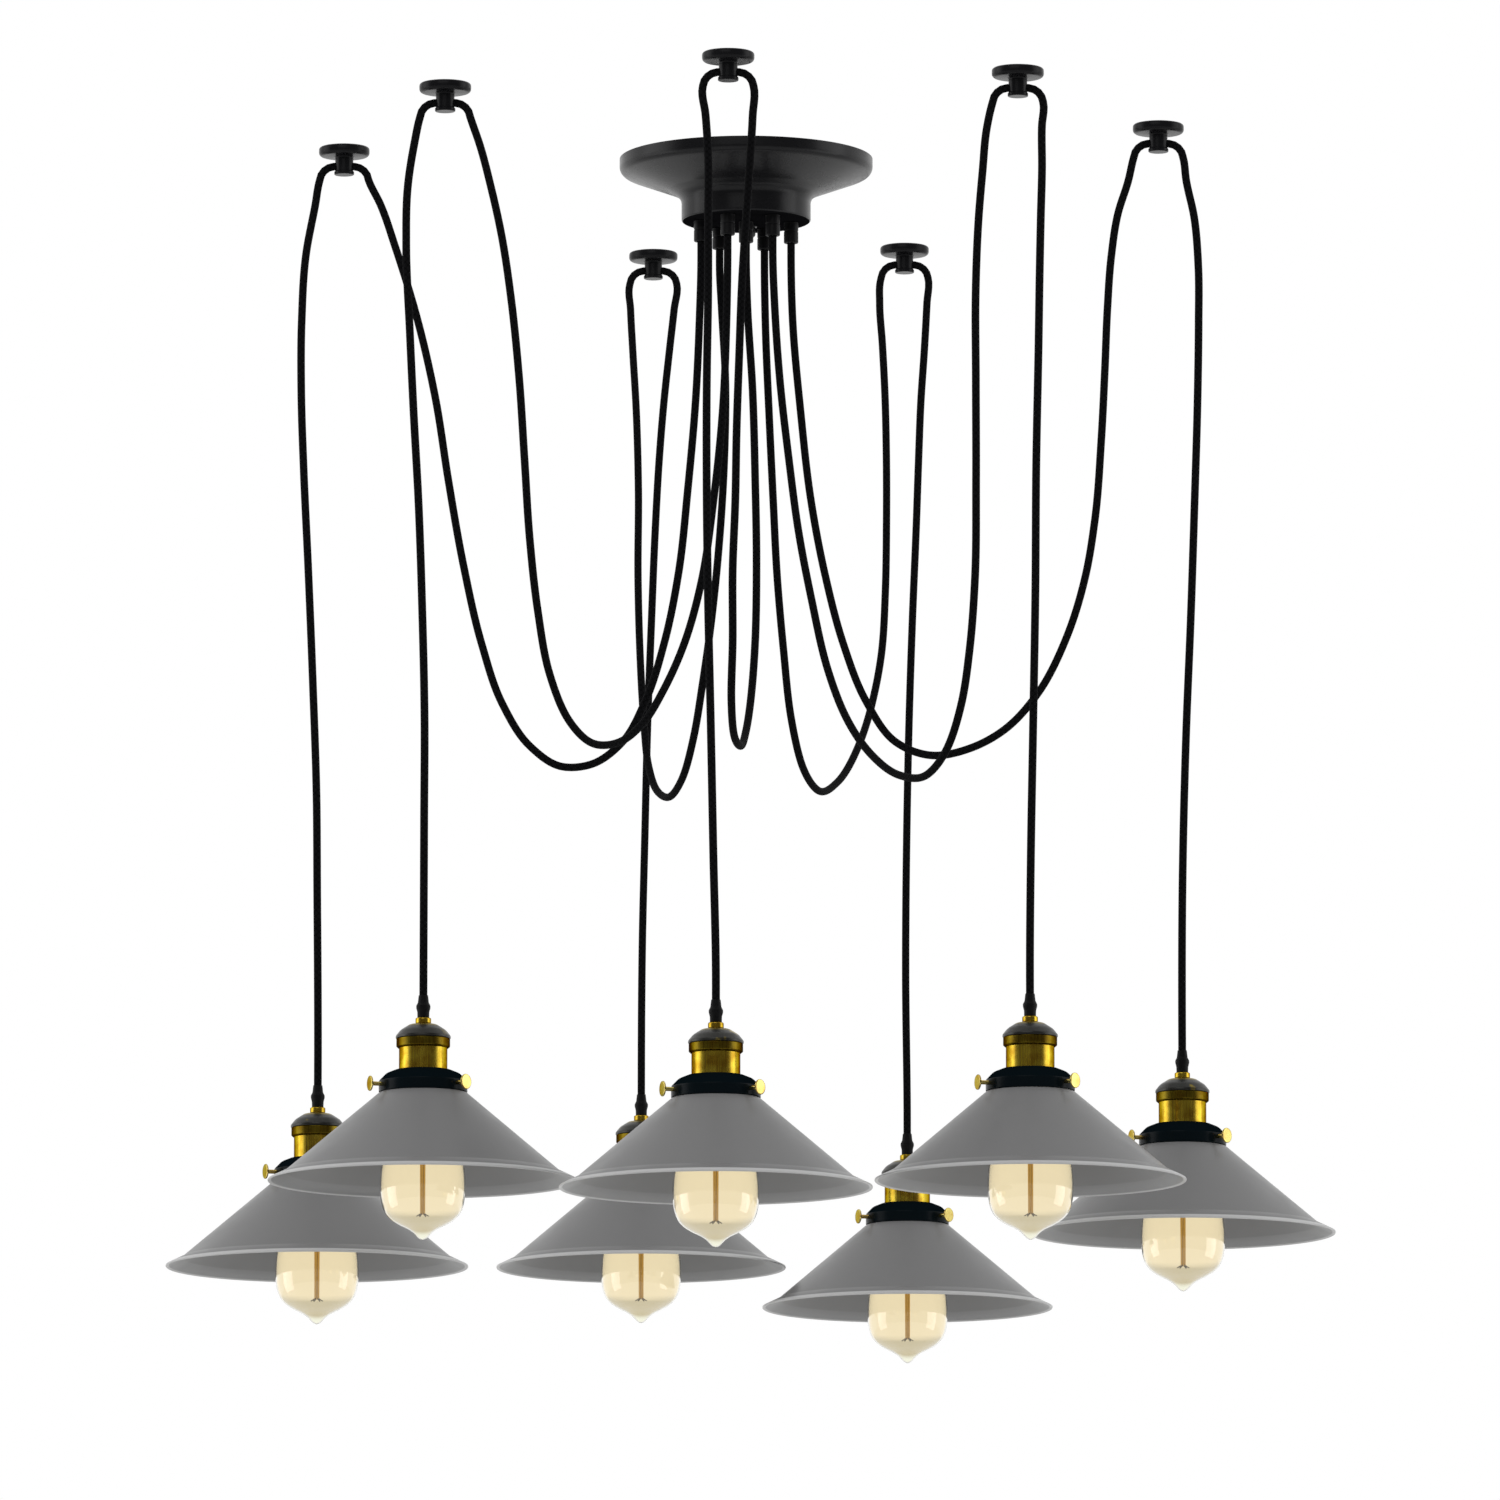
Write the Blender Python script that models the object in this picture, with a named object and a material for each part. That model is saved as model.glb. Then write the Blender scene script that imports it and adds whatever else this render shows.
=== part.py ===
"""Spider pendant light: seven cone shades with pointed bulbs, hung on textile cords.

Each cord leaves a gland under the one ceiling canopy, sags in a swag to a hook in the ceiling,
passes through the hook's neck and drops to its lamp. Metres, +Z up. The origin lies on the
ceiling, at the centre of the mounting bar's top face, and everything hangs below it.
The front of the light faces -Y.
"""
import math

import bmesh
import bpy
import numpy as np
from mathutils import Matrix, Vector

# Gaps
TOUCH_GAP = 0.0003
MERGE_GAP = 0.000003
OVERRUN = 0.002

# Faces round each turned piece
CANOPY_SIDES = 24
GLAND_SIDES = 6
HOOK_SIDES = 10
CAP_SIDES = 10
SHELL_SIDES = 10
RING_SIDES = 12
SHADE_SIDES = 18
BULB_SIDES = 8
SCREW_SIDES = 6
SMALL_SIDES = 8
SLOT_STEPS = 4
CORD_BEVEL_STEPS = 2
ARC_STEPS = 2
SMOOTH_ANGLE = math.radians(38)

# Canopy: a flange against the ceiling, a sloping underside and a small cup
CANOPY_RADIUS = 0.098
CANOPY_WALL = 0.0012
FLANGE_EDGE_HEIGHT = 0.0105
FLANGE_EDGE_ROUND = 0.0045
FLANGE_EDGE_TURN = math.radians(70)
SLOPE_HEIGHT = 0.0145
COVE_HEIGHT = 0.010
COVE_RADIUS = 0.0585
COVE_BEND_SHARE = 0.25
CUP_RADIUS = 0.050
CUP_HEIGHT = 0.014
CUP_ROUND = 0.0018

# Cord glands under the cup: one in the centre and a ring of six
GLAND_RING_RADIUS = 0.035
GLAND_RING_COUNT = 6
GLAND_RING_START = math.radians(6)
GLAND_RADIUS = 0.0056
GLAND_LENGTH = 0.0165
GLAND_CHAMFER = 0.0012
GLAND_TAPER = 0.0006
GLAND_ROOT = 0.0006
LOCKNUT_RADIUS = 0.0072
LOCKNUT_HEIGHT = 0.003

# Mounting bar, its fixing stud with a cap nut, and the terminal block
BAR_LENGTH = 0.120
BAR_WIDTH = 0.022
BAR_THICKNESS = 0.002
SLOT_LENGTH = 0.020
SLOT_WIDTH = 0.005
SLOT_END_MARGIN = 0.010
STUD_RADIUS = 0.002
STUD_X = 0.003
STUD_Y = 0.016
NUT_RADIUS = 0.0042
NUT_LENGTH = 0.0085
NUT_DOME_HEIGHT = 0.0021
NUT_TIP_RADIUS = 0.0029
NUT_TIP_HEIGHT = 0.0007
WASHER_RADIUS = 0.0055
WASHER_THICKNESS = 0.0012
BLOCK_LENGTH = 0.034
BLOCK_WIDTH = 0.018
BLOCK_HEIGHT = 0.015
BLOCK_STEP = 0.0035
BLOCK_Y = -0.012
TERMINAL_COUNT = 3
TERMINAL_BORE = 0.0018
TERMINAL_SCREW_BORE = 0.0022
TERMINAL_SCREW_DEPTH = 0.004

# Ceiling hooks: a disc and a neck with a cross hole that the cord passes through
HOOK_RADIUS = 0.0195
HOOK_DISC_HEIGHT = 0.007
HOOK_DISC_ROUND = 0.002
HOOK_NECK_RADIUS = 0.0070
HOOK_NECK_LENGTH = 0.0145
HOOK_FOOT_RADIUS = 0.0077
HOOK_FOOT_HEIGHT = 0.003
HOOK_HOLE_DROP = 0.0078

# Where the hooks are, as shares of the reach of the furthest one; x to the right, y to the back
HOOK_REACH = 0.425
HOOK_PLACE_SHARES = {
    1: (-0.729, -0.115),
    2: (-0.532, -0.718),
    3: (-0.176, 0.944),
    4: (-0.031, -1.000),
    5: (0.299, 0.880),
    6: (0.478, -0.856),
    7: (0.741, -0.336),
}
# Which side of its hook each swag leaves, right 1 or left -1; the drop leaves on the other side
SWAG_SIDE = {1: 1, 2: 1, 3: -1, 4: 1, 5: -1, 6: -1, 7: -1}
# Which gland each cord comes from, counted round the ring; None is the centre gland
GLAND_OF = {1: 3, 2: 4, 3: 2, 4: None, 5: 1, 6: 5, 7: 0}

# Cord, and the bend in which it leaves the hook on each side
CORD_RADIUS = 0.003
EXIT_BEND_RADIUS = 0.0119
EXIT_BEND_ANGLES = (math.radians(60), math.radians(30), math.radians(5))
STRAIGHT_END = 0.015
CURVE_STEP = 0.002
LONGEST_STEP = 0.13
LARGEST_TURN = 0.50

# How far each lamp's rim hangs below the ceiling, as shares of the deepest one, and how far the
# lamp hangs to the side of its hook, as shares of the cord's reach out of the hook
LAMP_DROP = 0.866
LAMP_DROP_SHARES = {1: 1.0, 2: 0.957, 3: 0.947, 4: 0.978, 5: 0.987, 6: 0.964, 7: 0.982}
LAMP_LEAN_SHARES = {1: -0.90, 2: -0.74, 3: -0.47, 4: -0.47, 5: 0.05, 6: 0.37, 7: 0.79}

# Shade: a short neck, a flat shoulder, a straight cone and a flared brim
BRIM_RADIUS = 0.1143
BRIM_WIDTH = 0.0120
BRIM_HEIGHT = 0.006
CONE_HEIGHT = 0.059
SHADE_WALL = 0.001
SHOULDER_INSET = 0.0005
NECK_HEIGHT = 0.0082
NECK_CLEARANCE = 0.0024

# Shade ring: a wall round the shade's neck under a domed top, with three thumb screws
RING_RADIUS = 0.033
RING_WALL = 0.0012
RING_WALL_HEIGHT = 0.0082
RING_DOME_HEIGHT = 0.0085
RING_LAND_WIDTH = 0.0015
SCREW_AZIMUTHS = (math.radians(51), math.radians(-69), math.radians(171))
SCREW_HEIGHT_SHARE = 0.62
SCREW_SHAFT_RADIUS = 0.0015
SCREW_HEAD_RADIUS = 0.0057
SCREW_HEAD_THICKNESS = 0.0014
SCREW_HEAD_REACH = 0.0095

# Socket shell, with the threaded insert that takes the bulb
SHELL_RADIUS = 0.018
SHELL_WALL = 0.001
SHELL_SHOWN = 0.0163
SHELL_IN_CAP = 0.005
SHELL_FOOT_INSET = 0.003
SHELL_CHAMFER = 0.0015
INSERT_HEIGHT = 0.022
INSERT_FLOOR = 0.008

# Socket cap: skirt, dome, collar and cord grip
SKIRT_RADIUS = 0.0205
SKIRT_HEIGHT = 0.0085
SKIRT_ROUND = 0.001
DOME_HEIGHT = 0.010
COLLAR_RADIUS = 0.0058
COLLAR_HEIGHT = 0.0042
GRIP_HEIGHT = 0.017
GRIP_BULGE_RADIUS = 0.0053
GRIP_FOOT_RADIUS = 0.0044
GRIP_TOP_RADIUS = 0.0034
GRIP_BULGE_SHARE = 0.50
GRIP_TAPER_SHARE = 0.68

# Bulb: pointed glass with a screw base, a glass stem inside and the pump tube's bore
BULB_LENGTH = 0.140
BULB_RADIUS = 0.032
BULB_WALL = 0.0012
BASE_RADIUS = 0.01325
BASE_THREAD_HEIGHT = 0.021
BASE_TAPER_HEIGHT = 0.007
CONTACT_RADIUS = 0.0045
STEM_RADIUS = 0.003
STEM_LENGTH = 0.050
PUMP_BORE_RADIUS = 0.0012
# The glass from the tip up to the base: radius as a share of the bulb's radius, height as a
# share of the glass's height
GLASS_SHARES = (
    (0.110, 0.013),
    (0.330, 0.075),
    (0.840, 0.155),
    (1.000, 0.335),
    (0.925, 0.560),
    (0.640, 0.810),
)
GLASS_NECK_SHARE = 0.455

# Routes of the swags from the hook's bend to below the gland, in metres
SWAG_ROUTES = {
    1: (
        (-0.282, -0.048, -0.044), (-0.270, -0.044, -0.078), (-0.254, -0.041, -0.130),
        (-0.239, -0.038, -0.195), (-0.229, -0.036, -0.258), (-0.217, -0.035, -0.325),
        (-0.203, -0.032, -0.385), (-0.187, -0.029, -0.431), (-0.166, -0.026, -0.463),
        (-0.143, -0.022, -0.478), (-0.119, -0.018, -0.476), (-0.095, -0.014, -0.458),
        (-0.078, -0.011, -0.427), (-0.063, -0.008, -0.380), (-0.052, -0.007, -0.325),
        (-0.045, -0.005, -0.260), (-0.039, -0.004, -0.190), (-0.036, -0.004, -0.125),
    ),
    2: (
        (-0.200, -0.298, -0.046), (-0.192, -0.285, -0.075), (-0.184, -0.268, -0.110),
        (-0.177, -0.252, -0.156), (-0.171, -0.242, -0.215), (-0.167, -0.236, -0.275),
        (-0.163, -0.230, -0.335), (-0.157, -0.222, -0.388), (-0.148, -0.210, -0.435),
        (-0.134, -0.192, -0.467), (-0.117, -0.168, -0.481), (-0.097, -0.142, -0.477),
        (-0.078, -0.117, -0.458), (-0.063, -0.096, -0.430), (-0.047, -0.075, -0.390),
        (-0.034, -0.058, -0.339), (-0.025, -0.046, -0.275), (-0.018, -0.037, -0.203),
        (-0.015, -0.033, -0.130),
    ),
    3: (
        (-0.093, 0.393, -0.048), (-0.091, 0.377, -0.085), (-0.088, 0.355, -0.137),
        (-0.086, 0.332, -0.205), (-0.086, 0.308, -0.281), (-0.084, 0.289, -0.348),
        (-0.081, 0.267, -0.400), (-0.077, 0.241, -0.440), (-0.070, 0.213, -0.464),
        (-0.060, 0.183, -0.473), (-0.050, 0.152, -0.463), (-0.041, 0.122, -0.435),
        (-0.034, 0.097, -0.397), (-0.027, 0.075, -0.350), (-0.021, 0.058, -0.293),
        (-0.017, 0.046, -0.230), (-0.016, 0.037, -0.170), (-0.019, 0.030, -0.112),
    ),
    4: (
        (0.005, -0.417, -0.046), (0.003, -0.403, -0.078), (0.000, -0.382, -0.118),
        (-0.003, -0.359, -0.162), (-0.005, -0.338, -0.211), (-0.007, -0.316, -0.266),
        (-0.008, -0.302, -0.317), (-0.010, -0.288, -0.368), (-0.010, -0.268, -0.418),
        (-0.011, -0.242, -0.459), (-0.009, -0.208, -0.481), (-0.004, -0.172, -0.484),
        (0.000, -0.136, -0.467), (0.004, -0.101, -0.434), (0.007, -0.074, -0.388),
        (0.008, -0.051, -0.322), (0.007, -0.031, -0.257), (0.005, -0.014, -0.184),
        (0.001, -0.003, -0.115),
    ),
    5: (
        (0.107, 0.366, -0.048), (0.109, 0.358, -0.082), (0.111, 0.353, -0.125),
        (0.112, 0.350, -0.175), (0.112, 0.348, -0.228), (0.111, 0.344, -0.284),
        (0.108, 0.333, -0.334), (0.100, 0.309, -0.380), (0.088, 0.270, -0.422),
        (0.072, 0.219, -0.456), (0.056, 0.167, -0.470), (0.044, 0.128, -0.457),
        (0.035, 0.099, -0.423), (0.029, 0.079, -0.372), (0.024, 0.063, -0.316),
        (0.021, 0.053, -0.259), (0.018, 0.043, -0.197), (0.015, 0.035, -0.125),
    ),
    6: (
        (0.180, -0.357, -0.044), (0.177, -0.345, -0.074), (0.174, -0.333, -0.110),
        (0.172, -0.324, -0.160), (0.172, -0.319, -0.230), (0.172, -0.318, -0.304),
        (0.171, -0.315, -0.379), (0.167, -0.309, -0.431), (0.161, -0.297, -0.470),
        (0.150, -0.276, -0.502), (0.135, -0.246, -0.517), (0.116, -0.211, -0.512),
        (0.096, -0.173, -0.492), (0.077, -0.137, -0.459), (0.062, -0.108, -0.415),
        (0.050, -0.085, -0.358), (0.040, -0.065, -0.301), (0.033, -0.051, -0.245),
        (0.026, -0.039, -0.180), (0.022, -0.031, -0.120),
    ),
    7: (
        (0.292, -0.141, -0.043), (0.284, -0.134, -0.068), (0.279, -0.129, -0.100),
        (0.276, -0.126, -0.140), (0.274, -0.124, -0.185), (0.271, -0.123, -0.241),
        (0.266, -0.120, -0.302), (0.258, -0.115, -0.348), (0.244, -0.108, -0.392),
        (0.223, -0.097, -0.432), (0.198, -0.083, -0.458), (0.171, -0.069, -0.471),
        (0.141, -0.053, -0.474), (0.114, -0.038, -0.461), (0.092, -0.027, -0.428),
        (0.075, -0.018, -0.383), (0.061, -0.010, -0.328), (0.050, -0.004, -0.268),
        (0.042, 0.000, -0.197), (0.036, 0.003, -0.126),
    ),
}
# Routes of the drops from the hook's bend to above the lamp, x and z; each hangs plumb below its
# hook, so its y is the hook's
DROP_ROUTES = {
    1: (
        (-0.332, -0.045), (-0.339, -0.084), (-0.342, -0.135), (-0.342, -0.195),
        (-0.340, -0.250), (-0.336, -0.330), (-0.332, -0.420), (-0.329, -0.500), (-0.328, -0.580),
    ),
    2: (
        (-0.249, -0.045), (-0.254, -0.079), (-0.255, -0.122), (-0.252, -0.190),
        (-0.249, -0.250), (-0.245, -0.320), (-0.242, -0.400), (-0.240, -0.480), (-0.240, -0.560),
    ),
    3: (
        (-0.058, -0.046), (-0.062, -0.082), (-0.066, -0.120), (-0.070, -0.170),
        (-0.073, -0.225), (-0.076, -0.300), (-0.079, -0.384), (-0.081, -0.470), (-0.083, -0.560),
    ),
    4: (
        (-0.030, -0.047), (-0.028, -0.080), (-0.028, -0.120), (-0.028, -0.180),
        (-0.029, -0.250), (-0.029, -0.330), (-0.028, -0.410), (-0.026, -0.500), (-0.024, -0.600),
    ),
    5: (
        (0.145, -0.046), (0.143, -0.082), (0.140, -0.126), (0.138, -0.175),
        (0.136, -0.230), (0.133, -0.300), (0.130, -0.388), (0.128, -0.480), (0.127, -0.590),
    ),
    6: (
        (0.221, -0.044), (0.221, -0.076), (0.220, -0.112), (0.219, -0.155),
        (0.218, -0.210), (0.216, -0.300), (0.215, -0.400), (0.213, -0.500), (0.211, -0.600),
    ),
    7: (
        (0.336, -0.043), (0.342, -0.072), (0.345, -0.110), (0.345, -0.155),
        (0.344, -0.210), (0.341, -0.300), (0.338, -0.380), (0.334, -0.470), (0.331, -0.570),
    ),
}

# Colour, roughness and metallic value of each finish
FINISHES = {
    "black_metal": ((0.012, 0.012, 0.013), 0.34, 0.0),
    "zinc_steel": ((0.55, 0.56, 0.58), 0.38, 1.0),
    "terminal_nylon": ((0.72, 0.70, 0.64), 0.5, 0.0),
    "black_cord": ((0.010, 0.010, 0.011), 0.85, 0.0),
    "bronze_cap": ((0.035, 0.033, 0.030), 0.36, 0.5),
    "brass": ((0.62, 0.43, 0.10), 0.22, 1.0),
    "grey_paint": ((0.19, 0.19, 0.19), 0.45, 0.0),
    "amber_glass": ((0.85, 0.46, 0.10), 0.04, 0.0),
}

# Heights worked out from the sizes above, down from the ceiling
CANOPY_HEIGHT = FLANGE_EDGE_HEIGHT + SLOPE_HEIGHT + COVE_HEIGHT + CUP_HEIGHT
GLAND_FOOT_Z = -CANOPY_HEIGHT - GLAND_LENGTH
SLOT_PLACE = BAR_LENGTH / 2 - SLOT_END_MARGIN - SLOT_LENGTH / 2
HOOK_HOLE_Z = -HOOK_DISC_HEIGHT - HOOK_HOLE_DROP
EXIT_REACH = HOOK_NECK_RADIUS + EXIT_BEND_RADIUS

# Heights in a lamp, up from the plane of the shade's rim
SHOULDER_Z = BRIM_HEIGHT + CONE_HEIGHT
RING_FOOT_Z = SHOULDER_Z + TOUCH_GAP
RING_WALL_TOP_Z = RING_FOOT_Z + RING_WALL_HEIGHT
RING_TOP_Z = RING_WALL_TOP_Z + RING_DOME_HEIGHT
SKIRT_FOOT_Z = RING_TOP_Z + SHELL_SHOWN
SHELL_FOOT_Z = RING_FOOT_Z + SHELL_FOOT_INSET
SHELL_TOP_Z = SKIRT_FOOT_Z + SHELL_IN_CAP
INSERT_TOP_Z = SHELL_TOP_Z - INSERT_FLOOR
COLLAR_FOOT_Z = SKIRT_FOOT_Z + SKIRT_HEIGHT + DOME_HEIGHT
GRIP_FOOT_Z = COLLAR_FOOT_Z + COLLAR_HEIGHT
GRIP_TOP_Z = GRIP_FOOT_Z + GRIP_HEIGHT
CONTACT_Z = INSERT_TOP_Z - TOUCH_GAP
BULB_TIP_Z = CONTACT_Z - BULB_LENGTH
NECK_RADIUS = RING_RADIUS - RING_WALL - NECK_CLEARANCE


def hole_radius(radius, sides):
    """The radius of a hole with flat sides that clears a round piece of the given radius."""
    return (radius + TOUCH_GAP) / math.cos(math.pi / sides)


def arc(centre, radius, start, end):
    """Points of a round from one angle to another, both ends included."""
    angles = [start + (end - start) * step / ARC_STEPS for step in range(ARC_STEPS + 1)]
    return [(centre[0] + radius * math.cos(a), centre[1] + radius * math.sin(a)) for a in angles]


def walled(outline, wall):
    """An outer outline, run from top to bottom, and back along its inner side at the wall's depth."""
    points = np.array(outline)
    edges = np.diff(points, axis=0)
    edges /= np.linalg.norm(edges, axis=1)[:, None]
    normals = np.stack([edges[:, 1], -edges[:, 0]], axis=1)
    before = np.vstack([normals[:1], normals])
    after = np.vstack([normals, normals[-1:]])
    mitre = (before + after) / (1 + np.sum(before * after, axis=1))[:, None]
    inner = points + wall * mitre
    return list(outline) + [tuple(point) for point in inner[::-1]]


def finish(name):
    """The material of a finish, made at its first use."""
    if name in bpy.data.materials:
        return bpy.data.materials[name]
    colour, roughness, metallic = FINISHES[name]
    made = bpy.data.materials.new(name)
    made.use_nodes = True
    shader = made.node_tree.nodes["Principled BSDF"]
    shader.inputs["Base Color"].default_value = (*colour, 1)
    shader.inputs["Roughness"].default_value = roughness
    shader.inputs["Metallic"].default_value = metallic
    if name == "amber_glass":
        shader.inputs["Transmission Weight"].default_value = 1
    return made


def node(name, data, place=(0, 0, 0), parent=None):
    """An object in the scene, placed from its parent's origin."""
    made = bpy.data.objects.new(name, data)
    bpy.context.scene.collection.objects.link(made)
    made.parent = parent
    made.location = place
    return made


def smoothed(mesh):
    """The mesh shaded smooth, with sharp edges kept."""
    mesh.shade_smooth()
    mesh.set_sharp_from_angle(angle=SMOOTH_ANGLE)
    return mesh


def spun(name, outline, sides, slot):
    """A turned piece: a closed outline of radius and height, spun about Z."""
    bm = bmesh.new()
    verts = [bm.verts.new((radius, 0, height)) for radius, height in outline]
    edges = []
    for start, end in zip(verts, verts[1:] + verts[:1]):
        if max(start.co.x, end.co.x) > 0:
            edges.append(bm.edges.new((start, end)))
    bmesh.ops.spin(
        bm, geom=verts + edges, cent=(0, 0, 0), axis=(0, 0, 1), dvec=(0, 0, 0),
        angle=math.tau, steps=sides, use_merge=True, use_duplicate=False,
    )
    bmesh.ops.remove_doubles(bm, verts=bm.verts, dist=MERGE_GAP)
    bmesh.ops.recalc_face_normals(bm, faces=bm.faces)
    mesh = bpy.data.meshes.new(name)
    bm.to_mesh(mesh)
    bm.free()
    mesh.materials.append(finish(slot))
    return smoothed(mesh)


def plate(name, outline, low, high, slot):
    """A flat piece: an outline of x and y, extruded from one height to another."""
    bm = bmesh.new()
    face = bm.faces.new([bm.verts.new((x, y, low)) for x, y in outline])
    grown = bmesh.ops.extrude_face_region(bm, geom=[face])
    risen = [item for item in grown["geom"] if isinstance(item, bmesh.types.BMVert)]
    bmesh.ops.translate(bm, vec=(0, 0, high - low), verts=risen)
    bmesh.ops.recalc_face_normals(bm, faces=bm.faces)
    mesh = bpy.data.meshes.new(name)
    bm.to_mesh(mesh)
    bm.free()
    mesh.materials.append(finish(slot))
    return smoothed(mesh)


def joined(name, placed):
    """One mesh of several copies, each given as a mesh and its matrix."""
    bm = bmesh.new()
    for mesh, matrix in placed:
        copy = mesh.copy()
        copy.transform(matrix)
        bm.from_mesh(copy)
        bpy.data.meshes.remove(copy)
    made = bpy.data.meshes.new(name)
    bm.to_mesh(made)
    bm.free()
    return made


def combined(mesh, tool_mesh, operation):
    """The mesh after an exact Boolean with a tool."""
    body = node("body", mesh)
    tool = node("tool", tool_mesh)
    tool.hide_render = True
    tool.display_type = "WIRE"
    change = body.modifiers.new("change", "BOOLEAN")
    change.operation = operation
    change.solver = "EXACT"
    change.object = tool
    depsgraph = bpy.context.evaluated_depsgraph_get()
    made = bpy.data.meshes.new_from_object(body.evaluated_get(depsgraph))
    bpy.data.objects.remove(body)
    bpy.data.objects.remove(tool)
    return smoothed(made)


def rod(radius, low, high):
    """A plain round tool for a hole along Z."""
    outline = [(0, high), (radius, high), (radius, low), (0, low)]
    return spun("rod", outline, SMALL_SIDES, "zinc_steel")


def gland_places():
    """The glands' places in the ring, counted from the right, and the centre one last."""
    places = {None: (0.0, 0.0)}
    for index in range(GLAND_RING_COUNT):
        angle = GLAND_RING_START + math.tau * index / GLAND_RING_COUNT
        places[index] = (GLAND_RING_RADIUS * math.cos(angle), GLAND_RING_RADIUS * math.sin(angle))
    return places


def hook_place(number):
    """The x and y of a hook on the ceiling."""
    share_x, share_y = HOOK_PLACE_SHARES[number]
    return HOOK_REACH * share_x, HOOK_REACH * share_y


def lamp_place(number):
    """The centre of a lamp's rim plane."""
    x, y = hook_place(number)
    lean = EXIT_REACH * LAMP_LEAN_SHARES[number]
    return Vector((x + lean, y, -LAMP_DROP * LAMP_DROP_SHARES[number]))


def canopy_mesh():
    """The pressed canopy with its glands fused in, and the hole for the fixing stud."""
    edge_foot = -FLANGE_EDGE_HEIGHT
    cove_top = edge_foot - SLOPE_HEIGHT
    cove_foot = cove_top - COVE_HEIGHT
    round_centre = (CANOPY_RADIUS - FLANGE_EDGE_ROUND, edge_foot + FLANGE_EDGE_ROUND)
    corner_centre = (CUP_RADIUS - CUP_ROUND, -CANOPY_HEIGHT + CUP_ROUND)
    cove_bend = (CUP_RADIUS + (COVE_RADIUS - CUP_RADIUS) * COVE_BEND_SHARE, (cove_top + cove_foot) / 2)
    outline = [(CANOPY_RADIUS, 0)]
    outline += arc(round_centre, FLANGE_EDGE_ROUND, 0, -FLANGE_EDGE_TURN)
    outline += [(COVE_RADIUS, cove_top), cove_bend, (CUP_RADIUS, cove_foot)]
    outline += arc(corner_centre, CUP_ROUND, 0, -math.pi / 2)
    outline += [(0, -CANOPY_HEIGHT)]
    shell = spun("canopy_shell", walled(outline, CANOPY_WALL), CANOPY_SIDES, "black_metal")
    floor = -CANOPY_HEIGHT + CANOPY_WALL
    gland = spun("gland", [
        (0, floor + LOCKNUT_HEIGHT),
        (LOCKNUT_RADIUS, floor + LOCKNUT_HEIGHT),
        (LOCKNUT_RADIUS, floor - GLAND_ROOT),
        (GLAND_RADIUS, floor - GLAND_ROOT),
        (GLAND_RADIUS, GLAND_FOOT_Z + GLAND_CHAMFER),
        (GLAND_RADIUS - GLAND_TAPER, GLAND_FOOT_Z),
        (0, GLAND_FOOT_Z),
    ], GLAND_SIDES, "black_metal")
    placed = [(gland, Matrix.Translation((x, y, 0))) for x, y in gland_places().values()]
    shell = combined(shell, joined("glands", placed), "UNION")
    hole = rod(hole_radius(STUD_RADIUS, SMALL_SIDES), -CANOPY_HEIGHT - OVERRUN, floor + OVERRUN)
    hole.transform(Matrix.Translation((STUD_X, STUD_Y, 0)))
    return combined(shell, hole, "DIFFERENCE")


def stadium(length, width, centre=(0, 0)):
    """A long outline with round ends, along Y."""
    radius = width / 2
    run = length / 2 - radius
    outline = []
    for side, start in ((1, 0), (-1, math.pi)):
        for step in range(SLOT_STEPS + 1):
            angle = start + math.pi * step / SLOT_STEPS
            x = radius * math.cos(angle)
            y = side * run + radius * math.sin(angle)
            outline.append((centre[0] + x, centre[1] + y))
    return outline


def bar_mesh():
    """The ceiling strap, with a screw slot near each end and the stud's hole."""
    bar = plate("mounting_bar", stadium(BAR_LENGTH, BAR_WIDTH), -BAR_THICKNESS, 0, "zinc_steel")
    slots = []
    for side in (1, -1):
        outline = stadium(SLOT_LENGTH, SLOT_WIDTH, (0, side * SLOT_PLACE))
        slot = plate("slot", outline, -BAR_THICKNESS - OVERRUN, OVERRUN, "zinc_steel")
        slots.append((slot, Matrix.Identity(4)))
    hole = rod(hole_radius(STUD_RADIUS, SMALL_SIDES), -BAR_THICKNESS - OVERRUN, OVERRUN)
    slots.append((hole, Matrix.Translation((STUD_X, STUD_Y, 0))))
    return combined(bar, joined("slots", slots), "DIFFERENCE")


def nut_mesh():
    """The fixing stud through the bar and the canopy's floor, with its washer and cap nut."""
    washer_top = -CANOPY_HEIGHT - TOUCH_GAP
    nut_top = washer_top - WASHER_THICKNESS
    nut_foot = nut_top - NUT_LENGTH
    return spun("canopy_nut", [
        (0, -TOUCH_GAP),
        (STUD_RADIUS, -TOUCH_GAP),
        (STUD_RADIUS, washer_top),
        (WASHER_RADIUS, washer_top),
        (WASHER_RADIUS, nut_top),
        (NUT_RADIUS, nut_top),
        (NUT_RADIUS, nut_foot + NUT_DOME_HEIGHT),
        (NUT_TIP_RADIUS, nut_foot + NUT_TIP_HEIGHT),
        (0, nut_foot),
    ], SMALL_SIDES, "black_metal")


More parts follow.
